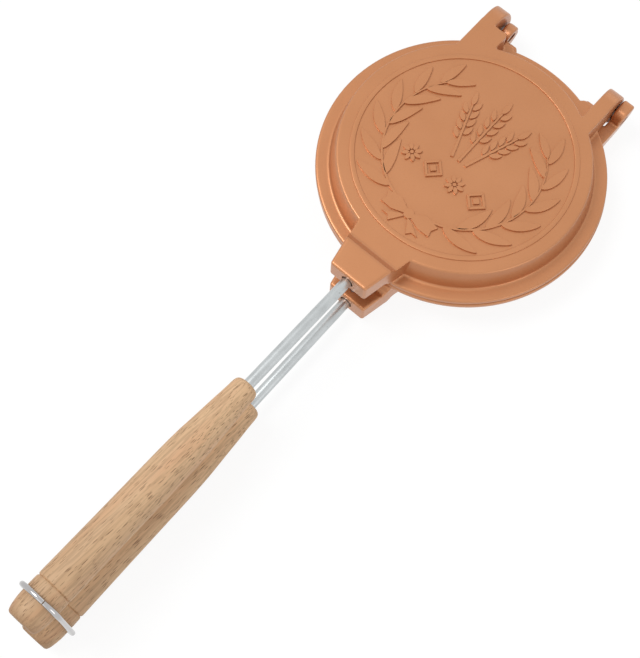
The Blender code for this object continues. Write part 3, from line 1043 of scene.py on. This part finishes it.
    def outer_arm(self) -> bmesh.types.BMesh:
        """Arm on the left, whose knuckle has a flat underside and a rounded corner.

        Returns:
            The closed arm.
        """
        near = -self.lug_outer + self.outer_lug_width
        roots = (self._in_wall(self.lug_outer), self._in_wall(near))
        round_end = self.outer_knuckle_corner
        corner = (self.hinge_back + self.outer_knuckle_flat, round_end - self.outer_knuckle_height)
        outline = [(min(roots), self.split), (self.hinge_back - self.outer_knuckle_front, self.split)]
        outline += arc((self.hinge_back, 0), self.outer_knuckle_front, self.outer_knuckle_height,
                       self.outer_knuckle_start, 270, steps=12)
        outline += arc(corner, round_end, round_end, 270, self.outer_corner_end, steps=6)
        outline += self._arm_back(self.outer_back_start)
        outline.append((min(roots), self.rim_height))
        return self._softened(self._arm(-self.lug_outer, near, roots, outline))

    def inner_arm(self) -> bmesh.types.BMesh:
        """Arm on the right, with a round knuckle.

        Returns:
            The closed arm.
        """
        far = self.lug_inner + self.inner_lug_width
        roots = (self._back(self.bead_radius + self.arm_past_bead, self.lug_inner), self._in_wall(far))
        start = 180 + math.degrees(math.asin(-self.split / self.inner_knuckle))
        outline = [(min(roots), self.split)]
        outline += arc((self.hinge_back, 0), self.inner_knuckle, self.inner_knuckle, start,
                       self.inner_knuckle_end, steps=22)
        outline += self._arm_back(self.inner_back_start)
        outline.append((min(roots), self.rim_height))
        return self._softened(self._arm(self.lug_inner, far, roots, outline))

    def gusset(self, side: int, face: float) -> bmesh.types.BMesh:
        """Chamfered web at flange level on the inner side of an arm.

        Args:
            side: -1 on the left and 1 on the right.
            face: How far aside it meets the arm.

        Returns:
            The closed web.
        """
        root = self.plate_radius - self.gusset_root
        bm = slab([(root, self.split), (self.gusset_back, self.split),
                   (self.gusset_back, self.flange_height), (root, self.flange_height)],
                  side * self.gusset_inner, side * (face + self.gusset_sunk))

        def corner(edge: bmesh.types.BMEdge) -> bool:
            """Whether the edge is the web's upright back corner."""
            return all(abs(vert.co.x) < self.gusset_inner + NEAR and vert.co.y > self.gusset_back - NEAR
                       for vert in edge.verts)

        rolled(bm, corner, self.gusset_chamfer, segments=1)
        return bm

    def cutters(self) -> list[bmesh.types.BMesh]:
        """Solids to cut out of the skin.

        Returns:
            The hollow, the two pin holes, the rod hole and the set screw's hole.
        """
        shapes = [self.hollow()]
        left = (-self.lug_outer, -self.lug_outer + self.outer_lug_width)
        right = (self.lug_inner, self.lug_inner + self.inner_lug_width)
        for low, high in (left, right):
            start = Vector((low - self.cut_past, self.hinge_back, 0))
            hole = bar(self.pin_hole, high - low + 2 * self.cut_past, self.cut_edge, steps=48)
            shapes.append(aimed(hole, start, start + Vector((1, 0, 0))))
        inside = self.rod_point(self.block_front - self.rod_in_block)
        outside = self.rod_point(self.block_front + self.rod_cut_past)
        hole = bar(self.rod_hole, (outside - inside).length, self.cut_edge, steps=64)
        shapes.append(aimed(hole, inside, outside))
        foot = Vector((0, self.screw_from_front - self.block_front, self.block_under - self.cut_past))
        hole = bar(self.screw_hole, self.rod_height - foot.z, self.cut_edge / 2, steps=32)
        shapes.append(aimed(hole, foot, foot + Vector((0, 0, 1))))
        return shapes

    def mesh(self, name: str) -> bpy.types.Mesh:
        """Merge the shapes into one rolled skin and cut the holes.

        Args:
            name: Name of the mesh.

        Returns:
            The mesh in millimetres.
        """
        shapes = [self.pan(), self.neck(), self.base(), self.outer_arm(), self.inner_arm(),
                  self.gusset(-1, self.base_inner), self.gusset(1, self.lug_inner)]
        holder = linked(name, joined(shapes, name))
        merge = holder.modifiers.new("skin", "REMESH")
        merge.mode = "VOXEL"
        merge.voxel_size = self.skin_voxel
        soften = holder.modifiers.new("soften", "SMOOTH")
        soften.factor = self.soften_share
        soften.iterations = self.soften_rounds
        skin = evaluated(holder, name)
        holder.modifiers.clear()
        holder.data = skin
        count = sum(len(polygon.vertices) - 2 for polygon in skin.polygons)
        thin = holder.modifiers.new("thin", "DECIMATE")
        thin.ratio = min(1.0, self.most_triangles / count)
        tools = []
        for index, shape in enumerate(self.cutters()):
            tool_name = f"{name}_tool_{index}"
            tools.append(linked(tool_name, mesh_from(shape, tool_name)))
            cut = holder.modifiers.new(f"cut_{index}", "BOOLEAN")
            cut.operation = "DIFFERENCE"
            cut.solver = "MANIFOLD"
            cut.object = tools[-1]
        finished = evaluated(holder, name)
        for item in tools + [holder]:
            bpy.data.objects.remove(item, do_unlink=True)
        return finished

    def bead(self, name: str) -> bpy.types.Mesh:
        """Raised ring round the field, as its own crisp turning.

        Args:
            name: Name of the mesh.

        Returns:
            The mesh in millimetres.
        """
        inside = self.bead_radius - self.bead_width / 2
        outside = self.bead_radius + self.bead_width / 2
        foot = self.rim_height - self.bead_sunk
        top = self.rim_height + self.bead_height
        profile = rounded([(inside, foot, 0), (inside, top, self.bead_round),
                           (outside, top, self.bead_round), (outside, foot, 0)])
        return mesh_from(spun(profile + profile[:1], self.round_steps), name)

    def dress(self, half: Half, finishes: Finishes) -> None:
        """Build the casting and its bead and put them on their body.

        Args:
            half: The half that it belongs to.
            finishes: The finishes.
        """
        copper = finishes.materials[Slot.COPPER]
        name = half.node("casting")
        place(self.mesh(name), name, half.matrix, half.body, Slot.COPPER, copper, sharp=50.0,
              replaces=[half.node("plate")])
        name = half.node("bead")
        place(self.bead(name), name, half.matrix, half.body, Slot.COPPER, copper)


@dataclass(frozen=True)
class LeafRow:
    """How the leaves on one side of a branch stand, with angles in degrees."""

    outward: int
    tilt: float
    bend: float
    off_stem: float
    ahead: float


@dataclass
class Relief:
    """Raised picture on the upper plate: a wreath with a bow, ears of grain and four motifs.

    Directions on the field are degrees about its middle, from +X round toward the hinge. An ear is
    (lean in radians, place along X, share of the full height), and the stalk's points are (share of
    the ear's height, width).
    """

    field_height: float
    rise: float = 0.95
    sunk: float = 0.3
    edge: float = 0.08
    level_step: float = 0.03
    levels: int = 6
    # Any leaf, petal or grain
    leaf_steps: int = 16
    leaf_fullness: float = 0.85
    leaf_tip: float = 0.12
    # Wreath
    stem_radius: float = 36.3
    stem_width: float = 1.2
    stem_start: float = -84.0
    stem_past: float = 6.0
    stem_thinning: float = 0.55
    stem_steps: int = 24
    leaf_length: float = 18.5
    leaf_width: float = 4.8
    leaf_thinning: float = 0.035
    leaves: int = 6
    first_leaf: float = -66.0
    leaf_turn: float = 20.0
    leaf_rows: tuple[LeafRow, ...] = (
        LeafRow(outward=-1, tilt=30.0, bend=14.0, off_stem=0.4, ahead=0.0),
        LeafRow(outward=1, tilt=33.0, bend=30.0, off_stem=-0.4, ahead=9.0))
    end_leaf_shares: Point2 = (0.72, 0.7)
    end_leaf_tilt: float = 6.0
    end_leaf_bend: float = 16.0
    end_leaf_back: float = 2.0
    # Bow
    knot: Point2 = (0.0, -38.2)
    knot_size: Point2 = (2.3, 2.5)
    bow_loop: tuple[Point2, ...] = (
        (1.4, -37.2), (7.0, -34.0), (13.8, -35.4), (12.4, -38.4), (13.2, -41.2), (7.4, -41.4),
        (1.4, -39.2))
    bow_tail: tuple[Point2, ...] = ((0.6, -40.0), (3.2, -40.6), (9.8, -44.6), (6.6, -44.6), (5.0, -46.6))
    # Ears of grain
    ear_height: float = 37.0
    ear_foot: float = -4.5
    ears: tuple[Triple, ...] = ((-0.34, -3.6, 0.88), (0.0, 0.0, 1.0), (0.34, 3.6, 0.88))
    stalk: tuple[Point2, ...] = ((0.0, 1.4), (0.5, 1.1), (0.84, 0.8))
    grain_length: float = 5.8
    grain_width: float = 2.1
    grain_pairs: int = 4
    grain_start: float = 0.3
    grain_pitch: float = 0.132
    grain_aside: float = 0.9
    grain_tilt: float = 38.0
    grain_bend: float = 18.0
    top_grain_shares: Point2 = (1.25, 1.1)
    top_grain_gap: float = 0.4
    # Motifs
    motif_size: float = 9.4
    motif_pitch: float = 12.0
    motif_row: float = -14.5
    motif_count: int = 4
    petals: int = 8
    petal_start: float = 1.15
    petal_width: float = 1.7
    disc_radius: float = 0.9
    frame_share: float = 0.56
    frame_width: float = 1.6
    frame_middle: float = 1.9
    shapes: list[bmesh.types.BMesh] = field(default_factory=list)

    def raise_outline(self, outline: Sequence[Point2], step: int = 0) -> None:
        """Raise a closed outline above the field.

        Args:
            outline: Points in (x, y).
            step: Which of a few slightly unlike levels it takes, so that crossing tops stay apart.
        """
        bm = bmesh.new()
        low = self.field_height - self.sunk
        top = self.field_height + self.rise - self.level_step * (step % self.levels)
        face = bm.faces.new([bm.verts.new((x, y, low)) for x, y in outline])
        grown = bmesh.ops.extrude_face_region(bm, geom=[face])
        moved = [item for item in grown["geom"] if isinstance(item, bmesh.types.BMVert)]
        bmesh.ops.translate(bm, vec=(0, 0, top - low), verts=moved)
        bmesh.ops.recalc_face_normals(bm, faces=bm.faces)

        def upper(edge: bmesh.types.BMEdge) -> bool:
            """Whether the edge runs round the top."""
            return all(vert.co.z > top - NEAR for vert in edge.verts)

        rolled(bm, upper, self.edge, segments=1)
        self.shapes.append(bm)

    def leaf(self, base: Vector, heading: float, length: float, width: float, bend: float = 0.0,
             step: int = 0) -> None:
        """Raise a pointed leaf.

        Args:
            base: Where the leaf starts, in (x, y).
            heading: Its direction there, in radians.
            length: From base to tip.
            width: At its widest.
            bend: How far it turns on its way, in radians.
            step: Level, as in raise_outline.
        """
        left: list[Point2] = []
        right: list[Point2] = []
        spot = base.copy()
        for index in range(self.leaf_steps + 1):
            share = index / self.leaf_steps
            angle = heading + bend * share
            across = Vector((-math.sin(angle), math.cos(angle)))
            swell = math.sin(math.pi * share ** self.leaf_fullness) ** self.leaf_fullness
            half = 0.5 * width * swell + self.leaf_tip
            if index in (0, self.leaf_steps):
                left.append((spot.x, spot.y))
            else:
                left.append(tuple(spot + across * half))
                right.append(tuple(spot - across * half))
            spot = spot + Vector((math.cos(angle), math.sin(angle))) * (length / self.leaf_steps)
        self.raise_outline(left + right[::-1], step)

    def strip(self, points: Sequence[Vector], widths: Sequence[float], step: int) -> None:
        """Raise a strip.

        Args:
            points: Its middle line, in (x, y).
            widths: Its width at each point.
            step: Level, as in raise_outline.
        """
        left: list[Point2] = []
        right: list[Point2] = []
        for index, (spot, width) in enumerate(zip(points, widths)):
            ahead = points[min(index + 1, len(points) - 1)] - points[max(index - 1, 0)]
            across = Vector((-ahead.y, ahead.x)).normalized() * width / 2
            left.append(tuple(spot + across))
            right.append(tuple(spot - across))
        self.raise_outline(left + right[::-1], step)

    def branch(self, side: int) -> None:
        """One branch of the wreath, from the bow up along the bead.

        Args:
            side: -1 on the left and 1 on the right.
        """
        def at(degrees: float, radius: float) -> Vector:
            """Point on this side of the field."""
            angle = math.radians(degrees)
            return Vector((side * radius * math.cos(angle), radius * math.sin(angle)))

        def facing(degrees: float) -> float:
            """Heading in radians on this side of the field."""
            return math.radians(degrees) if side > 0 else math.pi - math.radians(degrees)

        end = self.first_leaf + self.leaf_turn * (self.leaves - 1) + self.stem_past
        shares = [index / self.stem_steps for index in range(self.stem_steps + 1)]
        line = [at(self.stem_start + (end - self.stem_start) * share, self.stem_radius) for share in shares]
        self.strip(line, [self.stem_width * (1 - self.stem_thinning * share) for share in shares], step=2)
        for index in range(self.leaves):
            degrees = self.first_leaf + self.leaf_turn * index
            shrink = 1 - self.leaf_thinning * index
            for row in self.leaf_rows:
                if row.outward > 0 and index == self.leaves - 1:
                    continue
                self.leaf(at(degrees + row.ahead, self.stem_radius + row.off_stem),
                          facing(degrees + 90 + row.outward * row.tilt), self.leaf_length * shrink,
                          self.leaf_width * shrink, side * math.radians(row.bend),
                          step=index % 2 + row.outward + 1)
        long, wide = self.end_leaf_shares
        self.leaf(at(end - self.end_leaf_back, self.stem_radius), facing(end + 90 + self.end_leaf_tilt),
                  self.leaf_length * long, self.leaf_width * wide,
                  side * math.radians(self.end_leaf_bend), step=4)

    def bow(self) -> None:
        """A plain bow of ribbon where the branches meet."""
        self.raise_outline(oval(self.knot, *self.knot_size, count=24), step=0)
        for side in (-1, 1):
            self.raise_outline([(side * x, y) for x, y in self.bow_loop], step=1)
            self.raise_outline([(side * x, y) for x, y in self.bow_tail], step=2)

    def ear(self, foot: Vector, lean: float, height: float) -> None:
        """An ear of grain on its stalk.

        Args:
            foot: Lower end of the stalk, in (x, y).
            lean: Its lean to the right, in radians.
            height: From foot to top.
        """
        up = Vector((math.sin(lean), math.cos(lean)))
        aside = Vector((up.y, -up.x)) * self.grain_aside
        heading = math.pi / 2 - lean
        pitch = self.grain_pitch * height
        start = foot + up * self.grain_start * height
        self.strip([foot + up * share * height for share, width in self.stalk],
                   [width for share, width in self.stalk], step=5)
        for index in range(self.grain_pairs):
            for side in (-1, 1):
                base = start + up * pitch * (index + (0.5 if side > 0 else 0.0)) + side * aside
                self.leaf(base, heading - side * math.radians(self.grain_tilt), self.grain_length,
                          self.grain_width, side * math.radians(self.grain_bend), step=(side + 1) // 2)
        long, wide = self.top_grain_shares
        tip = start + up * (pitch * self.grain_pairs + self.top_grain_gap)
        self.leaf(tip, heading, self.grain_length * long, self.grain_width * wide, step=4)

    def rosette(self, centre: Vector) -> None:
        """A flower of pointed petals round a small disc.

        Args:
            centre: Its middle, in (x, y).
        """
        self.raise_outline(oval(tuple(centre), self.disc_radius, self.disc_radius, count=12), step=4)
        length = 0.5 * self.motif_size - self.petal_start
        for petal in range(self.petals):
            turn = 2 * math.pi * petal / self.petals
            away = Vector((math.cos(turn), math.sin(turn)))
            self.leaf(centre + self.petal_start * away, turn, length, self.petal_width, step=petal % 2)

    def diamond(self, centre: Vector) -> None:
        """A square frame on its corner round a smaller full one.

        Args:
            centre: Its middle, in (x, y).
        """
        reach = self.frame_share * self.motif_size
        inside = reach - self.frame_width
        for index in range(4):
            ends = [math.pi / 2 * index, math.pi / 2 * (index + 1)]
            around = [Vector((math.cos(angle), math.sin(angle))) for angle in ends]
            corners = [centre + reach * around[0], centre + reach * around[1],
                       centre + inside * around[1], centre + inside * around[0]]
            self.raise_outline([tuple(corner) for corner in corners])
        self.raise_outline(oval(tuple(centre), self.frame_middle, self.frame_middle, count=4))

    def motifs(self) -> None:
        """A row of flowers and diamonds in turn."""
        for index in range(self.motif_count):
            motif = self.diamond if index % 2 else self.rosette
            motif(Vector((self.motif_pitch * (index - (self.motif_count - 1) / 2), self.motif_row)))

    def dress(self, half: Half, finishes: Finishes) -> None:
        """Raise the whole picture in three pieces.

        Args:
            half: The half that carries it.
            finishes: The finishes.
        """
        copper = finishes.materials[Slot.COPPER]

        def picture(name: str) -> None:
            """Place what has been raised so far as one piece."""
            place(joined(self.shapes, name), name, half.matrix, half.body, Slot.COPPER, copper, sharp=30.0)
            self.shapes = []

        for side in (-1, 1):
            self.branch(side)
        self.bow()
        picture("wreath_relief")
        for lean, x, share in self.ears:
            self.ear(Vector((x, self.ear_foot)), lean, self.ear_height * share)
        picture("grain_relief")
        self.motifs()
        picture("motif_relief")


@dataclass
class Handle:
    """Rod and grip of one half.

    The grip's stations are (distance from its front, radius). Its visible end can be cut short, by
    moving the stations beyond end_start.
    """

    casting: Casting
    rod_radius: float = 2.5
    rod_edge: float = 0.4
    rod_steps: int = 64
    rod_in_block: float = 12.4
    rod_in_grip: float = 43.0
    bore_gap: float = 0.6
    rod_fit: float = 0.25
    grip_front: float = 141.1
    grip_length: float = 129.9
    end_cut: float = 0.0
    end_start: float = 115.0
    stations: tuple[Point2, ...] = (
        (0.0, 4.08), (0.4, 4.91), (1.1, 5.45), (2.2, 5.78), (3.6, 5.90), (6.2, 6.02), (9.5, 6.22),
        (13.1, 6.51), (19.4, 6.89), (25.8, 7.28), (32.4, 7.72), (39.0, 7.96), (48.0, 8.06),
        (62.0, 8.08), (85.0, 8.15), (104.0, 8.25), (110.4, 8.27), (110.9, 8.03), (111.2, 7.66),
        (111.5, 8.02), (112.0, 8.26), (119.0, 8.30), (122.8, 8.23), (125.4, 7.89), (127.4, 7.52),
        (128.7, 7.10), (129.5, 6.60), (129.9, 5.90))
    most_pieces: int = 12
    steps: int = 96

    def profile(self) -> list[Point2]:
        """Smooth line through the stations.

        Returns:
            (radius, distance) of each point.
        """
        line: list[Point2] = []
        stations = [(along - (self.end_cut if along > self.end_start else 0.0), radius)
                    for along, radius in self.stations]
        last = len(stations) - 1
        for index in range(last):
            before = stations[max(index - 1, 0)]
            start, end = stations[index], stations[index + 1]
            after = stations[min(index + 2, last)]
            gap = end[0] - start[0]
            slope_in = (end[1] - before[1]) / (end[0] - before[0]) * gap
            slope_out = (after[1] - start[1]) / (after[0] - start[0]) * gap
            pieces = max(2, min(self.most_pieces, round(gap)))
            for piece in range(pieces):
                t = piece / pieces
                radius = ((2 * t ** 3 - 3 * t ** 2 + 1) * start[1] + (t ** 3 - 2 * t ** 2 + t) * slope_in
                          + (3 * t ** 2 - 2 * t ** 3) * end[1] + (t ** 3 - t ** 2) * slope_out)
                line.append((radius, start[0] + gap * t))
        line.append((stations[last][1], stations[last][0]))
        return line

    def grip(self, name: str) -> bpy.types.Mesh:
        """Turned grip with its blind bore.

        Args:
            name: Name of the mesh.

        Returns:
            The mesh in millimetres.
        """
        bore = self.rod_radius + self.rod_fit
        depth = self.rod_in_grip + self.bore_gap
        line = [(0.0, depth), (bore, depth), (bore, 0.0)]
        line += self.profile() + [(0.0, self.grip_length - self.end_cut)]
        start = self.casting.rod_point(self.grip_front)
        end = self.casting.rod_point(self.grip_front + self.grip_length)
        return mesh_from(aimed(spun(line, self.steps), start, end), name)

    def rod(self, name: str) -> bpy.types.Mesh:
        """Straight rod from inside the block to inside the grip.

        Args:
            name: Name of the mesh.

        Returns:
            The mesh in millimetres.
        """
        start = self.casting.rod_point(self.casting.block_front - self.rod_in_block)
        inside = self.rod_in_grip * math.cos(self.casting.rod_spread)
        end = self.casting.rod_point(self.grip_front + inside)
        shape = bar(self.rod_radius, (end - start).length, self.rod_edge, self.rod_steps)
        return mesh_from(aimed(shape, start, end), name)

    def dress(self, half: Half, finishes: Finishes) -> None:
        """Build rod and grip and put them on their body.

        Args:
            half: The half that they belong to.
            finishes: The finishes.
        """
        name = half.node("handle_bar")
        place(self.rod(name), name, half.matrix, half.body, Slot.BRIGHT_STEEL,
              finishes.materials[Slot.BRIGHT_STEEL], replaces=[half.node("rod")])
        name = half.node("handle_grip")
        place(self.grip(name), name, half.matrix, half.body, Slot.BEECH,
              finishes.materials[Slot.BEECH], sharp=48.0, replaces=[half.node("grip")])


@dataclass
class Ring:
    """Oval wire ring that stands square to the handle, with an open butt joint on top."""

    wire_radius: float = 1.15
    loop_radius: float = 9.95
    joint_offset: float = 3.2
    joint_gap: float = 0.3
    arc_steps: int = 40
    round_resolution: int = 8

    def path(self, rise: float) -> list[Point2]:
        """Middle line of the wire, all the way round from the joint.

        Args:
            rise: How far the middle of each bend lies above or below the ring's middle.

        Returns:
            Points in (x, z) about the ring's middle.
        """
        def bend(first: float, last: float, steps: int, lift: float) -> list[Point2]:
            """Points of one bend.

            Args:
                first: First angle off the vertical, in radians.
                last: Last angle.
                steps: Pieces of the bend.
                lift: How high the middle of the bend lies.

            Returns:
                The points, both ends included.
            """
            angles = [first + (last - first) * step / steps for step in range(steps + 1)]
            return [(self.loop_radius * math.sin(angle), lift + self.loop_radius * math.cos(angle))
                    for angle in angles]

        start = math.asin((self.joint_offset + self.joint_gap / 2) / self.loop_radius)
        end = math.asin((self.joint_offset - self.joint_gap / 2) / self.loop_radius)
        line = bend(start, 0.5 * math.pi, self.arc_steps, rise)
        line += bend(0.5 * math.pi, 1.5 * math.pi, 2 * self.arc_steps, -rise)
        return line + bend(1.5 * math.pi, 2 * math.pi + end, self.arc_steps, rise)

    def dress(self, finishes: Finishes) -> None:
        """Bend the wire inside the CAD ring's box and put it on its body.

        Args:
            finishes: The finishes.
        """
        low, high = (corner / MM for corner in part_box("locking_ring"))
        middle = (low + high) / 2
        reach = self.wire_radius + self.loop_radius
        rise = (high.z - low.z) / 2 - reach
        lean = ((high.x - low.x) / 2 - reach) / rise
        path = self.path(rise)
        curve = bpy.data.curves.new("ring_wire", "CURVE")
        curve.dimensions = "3D"
        curve.bevel_depth = self.wire_radius
        curve.bevel_resolution = self.round_resolution
        curve.use_fill_caps = True
        spline = curve.splines.new("POLY")
        spline.points.add(len(path) - 1)
        for point, (x, z) in zip(spline.points, path):
            point.co = (middle.x + x - lean * z, middle.y, middle.z + z, 1.0)
        holder = linked("ring_wire", curve)
        mesh = evaluated(holder, "ring_wire")
        bpy.data.objects.remove(holder, do_unlink=True)
        place(mesh, "ring_wire", Matrix.Scale(MM, 4), "ring", Slot.BRIGHT_STEEL, finishes.wire,
              sharp=50.0, replaces=["locking_ring"])


@dataclass
class Pins:
    """The two hinge pins and the two set screws."""

    edge: float = 0.45
    steps: int = 48

    def dress(self, finishes: Finishes) -> None:
        """Turn the pins inside their CAD boxes and finish the screws.

        Args:
            finishes: The finishes.
        """
        plain = finishes.materials[Slot.PLAIN_STEEL]
        for node, body in (("left_hinge_pin", "upper_half"), ("right_hinge_pin", "lower_half")):
            low, high = (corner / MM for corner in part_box(node))
            start = Vector((low.x, (low.y + high.y) / 2, (low.z + high.z) / 2))
            turned = bar((high.z - low.z) / 2, high.x - low.x, self.edge, self.steps)
            name = node.replace("hinge_pin", "pivot_pin")
            mesh = mesh_from(aimed(turned, start, start + Vector((1, 0, 0))), name)
            place(mesh, name, Matrix.Scale(MM, 4), body, Slot.PLAIN_STEEL, plain, sharp=50.0,
                  replaces=[node])
        for node in ("upper_rod_screw", "lower_rod_screw"):
            carried = frame["nodes"][node]
            carried.data.materials.clear()
            carried.data.materials.append(plain)
            LOG.info("%s: kept from the frame", node)


# Studio


@dataclass(frozen=True)
class Lamp:
    """A square soft box."""

    name: str
    place: Triple
    size: float
    watts: float


@dataclass
class Studio:
    """Pale floor that the closed maker rests on, soft boxes, white surroundings and the camera.

    All in metres, but for the bead's contact and the camera's place, which are in the millimetres of
    a half's own frame, and the camera's turn, which is in degrees.
    """

    target: Triple = (0.0, 0.03, 0.03)
    floor_half: float = 4.0
    floor_gap: float = 0.0001
    floor_step: float = 0.0006
    floor_colour: float = 0.75
    floor_glow: float = 0.90
    floor_shade: float = 0.13
    bead_contact: float = 0.5
    world_level: float = 0.45
    lamps: tuple[Lamp, ...] = (
        Lamp("key_box", place=(-1.10, -0.50, 2.30), size=1.1, watts=31.5),
        Lamp("front_box", place=(0.2, -1.6, 0.75), size=1.0, watts=1.8),
        Lamp("right_box", place=(1.6, -0.3, 0.32), size=0.9, watts=4.0),
        Lamp("back_box", place=(0.0, 1.8, 0.85), size=0.9, watts=1.5),
    )
    camera_place: Triple = (132.39, -271.00, 567.91)
    camera_turn: Triple = (20.7015, -1.5435, 41.0332)
    camera_focus_pixels: float = 1428.4
    image_width: int = 640
    sensor_width: float = 36.0
    farthest: float = 50.0

    def floor_line(self, casting: Casting, half: Half) -> list[Point2]:
        """Side view of the sheet, which the ring and the far side of the lower bead rest on.

        Beyond the hinge line it falls away again, so that the half that opens out flat lies clear of it.

        Args:
            casting: The lower casting.
            half: The lower half's place.

        Returns:
            (y, z) of the near edge, the ridge and the far edge, in metres.
        """
        ring_low, ring_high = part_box("locking_ring")
        ring_y = (ring_low.y + ring_high.y) / 2
        contact = casting.bead_radius + self.bead_contact
        bead = half.matrix @ Vector((0, contact, casting.rim_height + casting.bead_height))
        hinge = half.matrix @ Vector((0, casting.hinge_back, 0))
        slope = (bead.z - ring_low.z) / (bead.y - ring_y)
        ridge = ring_low.z + slope * (hinge.y - ring_y) - self.floor_gap
        near = -self.floor_half
        far = 2 * hinge.y - near
        foot = ridge - slope * (hinge.y - near)
        return [(near, foot), (hinge.y, ridge), (hinge.y, ridge - self.floor_step),
                (far, foot - self.floor_step)]

    def floor(self, casting: Casting, half: Half) -> None:
        """A white sheet that keeps the object's soft shadow.

        Args:
            casting: The lower casting.
            half: The lower half's place.
        """
        bm = bmesh.new()
        line = self.floor_line(casting, half)
        rows = [[bm.verts.new((x, y, z)) for x in (-self.floor_half, self.floor_half)] for y, z in line]
        for near, far in zip(rows, rows[1:]):
            bm.faces.new((near[0], near[1], far[1], far[0]))
        bmesh.ops.recalc_face_normals(bm, faces=bm.faces)
        made = linked("studio_floor", mesh_from(bm, "studio_floor"))
        graph = Graph.for_material("white_sheet")
        sheet, pale = (graph.node("ShaderNodeBsdfDiffuse", None, {"Color": (level, level, level, 1.0)})
                       for level in (self.floor_colour, self.floor_shade))
        glow = graph.node("ShaderNodeEmission", None, {"Color": WHITE, "Strength": self.floor_glow})
        shown = graph.node("ShaderNodeAddShader", None, {0: pale.outputs[0], 1: glow.outputs[0]})
        made.data.materials.append(graph.show(graph.node("ShaderNodeMixShader", None, {
            0: graph.looked_at(), 1: sheet.outputs[0], 2: shown.outputs[0]})))

    def surroundings(self) -> None:
        """White to the camera and in reflections, dimmer as a light."""
        world = bpy.data.worlds.new("studio_world")
        bpy.context.scene.world = world
        graph = Graph(world, "ShaderNodeOutputWorld")
        lit, seen = (graph.node("ShaderNodeBackground", None, {"Color": WHITE, "Strength": strength})
                     for strength in (self.world_level, 1.0))
        graph.show(graph.node("ShaderNodeMixShader", None, {
            0: graph.looked_at(), 1: lit.outputs[0], 2: seen.outputs[0]}))

    def lights(self) -> None:
        """Soft boxes that point at the object."""
        for lamp in self.lamps:
            data = bpy.data.lights.new(lamp.name, "AREA")
            data.shape = "SQUARE"
            data.size = lamp.size
            data.energy = lamp.watts
            made = linked(lamp.name, data)
            made.location = lamp.place
            aim = Vector(self.target) - Vector(lamp.place)
            made.rotation_euler = aim.to_track_quat("-Z", "Y").to_euler()

    def camera(self, half: Half) -> None:
        """The photograph's view.

        Args:
            half: The half in whose frame the camera's place is given.
        """
        data = bpy.data.cameras.new("photo_camera")
        data.sensor_fit = "HORIZONTAL"
        data.sensor_width = self.sensor_width
        data.lens = self.camera_focus_pixels * self.sensor_width / self.image_width
        data.clip_end = self.farthest
        made = linked("photo_camera", data)
        made.location = half.matrix @ Vector(self.camera_place)
        made.rotation_euler = Euler([math.radians(angle) for angle in self.camera_turn])
        bpy.context.scene.camera = made

    def build(self, casting: Casting, upper: Half, lower: Half) -> None:
        """Set up everything round the object.

        Args:
            casting: The lower casting.
            upper: The upper half.
            lower: The lower half.
        """
        self.floor(casting, lower)
        self.surroundings()
        self.lights()
        self.camera(upper)
        bpy.context.scene.view_settings.view_transform = "Standard"


def main() -> None:
    """Build every sub-assembly and the studio."""
    logging.basicConfig(level=logging.INFO, format="%(name)s %(message)s")
    finishes = Finishes()
    upper = Casting(outer_lug_width=8.4, inner_lug_width=8.5, gusset_back=63.4)
    lower = Casting(outer_lug_width=5.1, inner_lug_width=4.7, gusset_back=66.0)
    upper_half = Half(Side.UPPER, upper.hinge_back)
    lower_half = Half(Side.LOWER, lower.hinge_back)
    upper.dress(upper_half, finishes)
    # The lower grip's end shows beyond the upper one's, so the upper one is cut short
    Handle(upper, end_cut=0.8).dress(upper_half, finishes)
    lower.dress(lower_half, finishes)
    Handle(lower).dress(lower_half, finishes)
    Relief(upper.rim_height).dress(upper_half, finishes)
    Ring().dress(finishes)
    Pins().dress(finishes)
    Studio().build(lower, upper_half, lower_half)


if __name__ == "__main__":
    main()
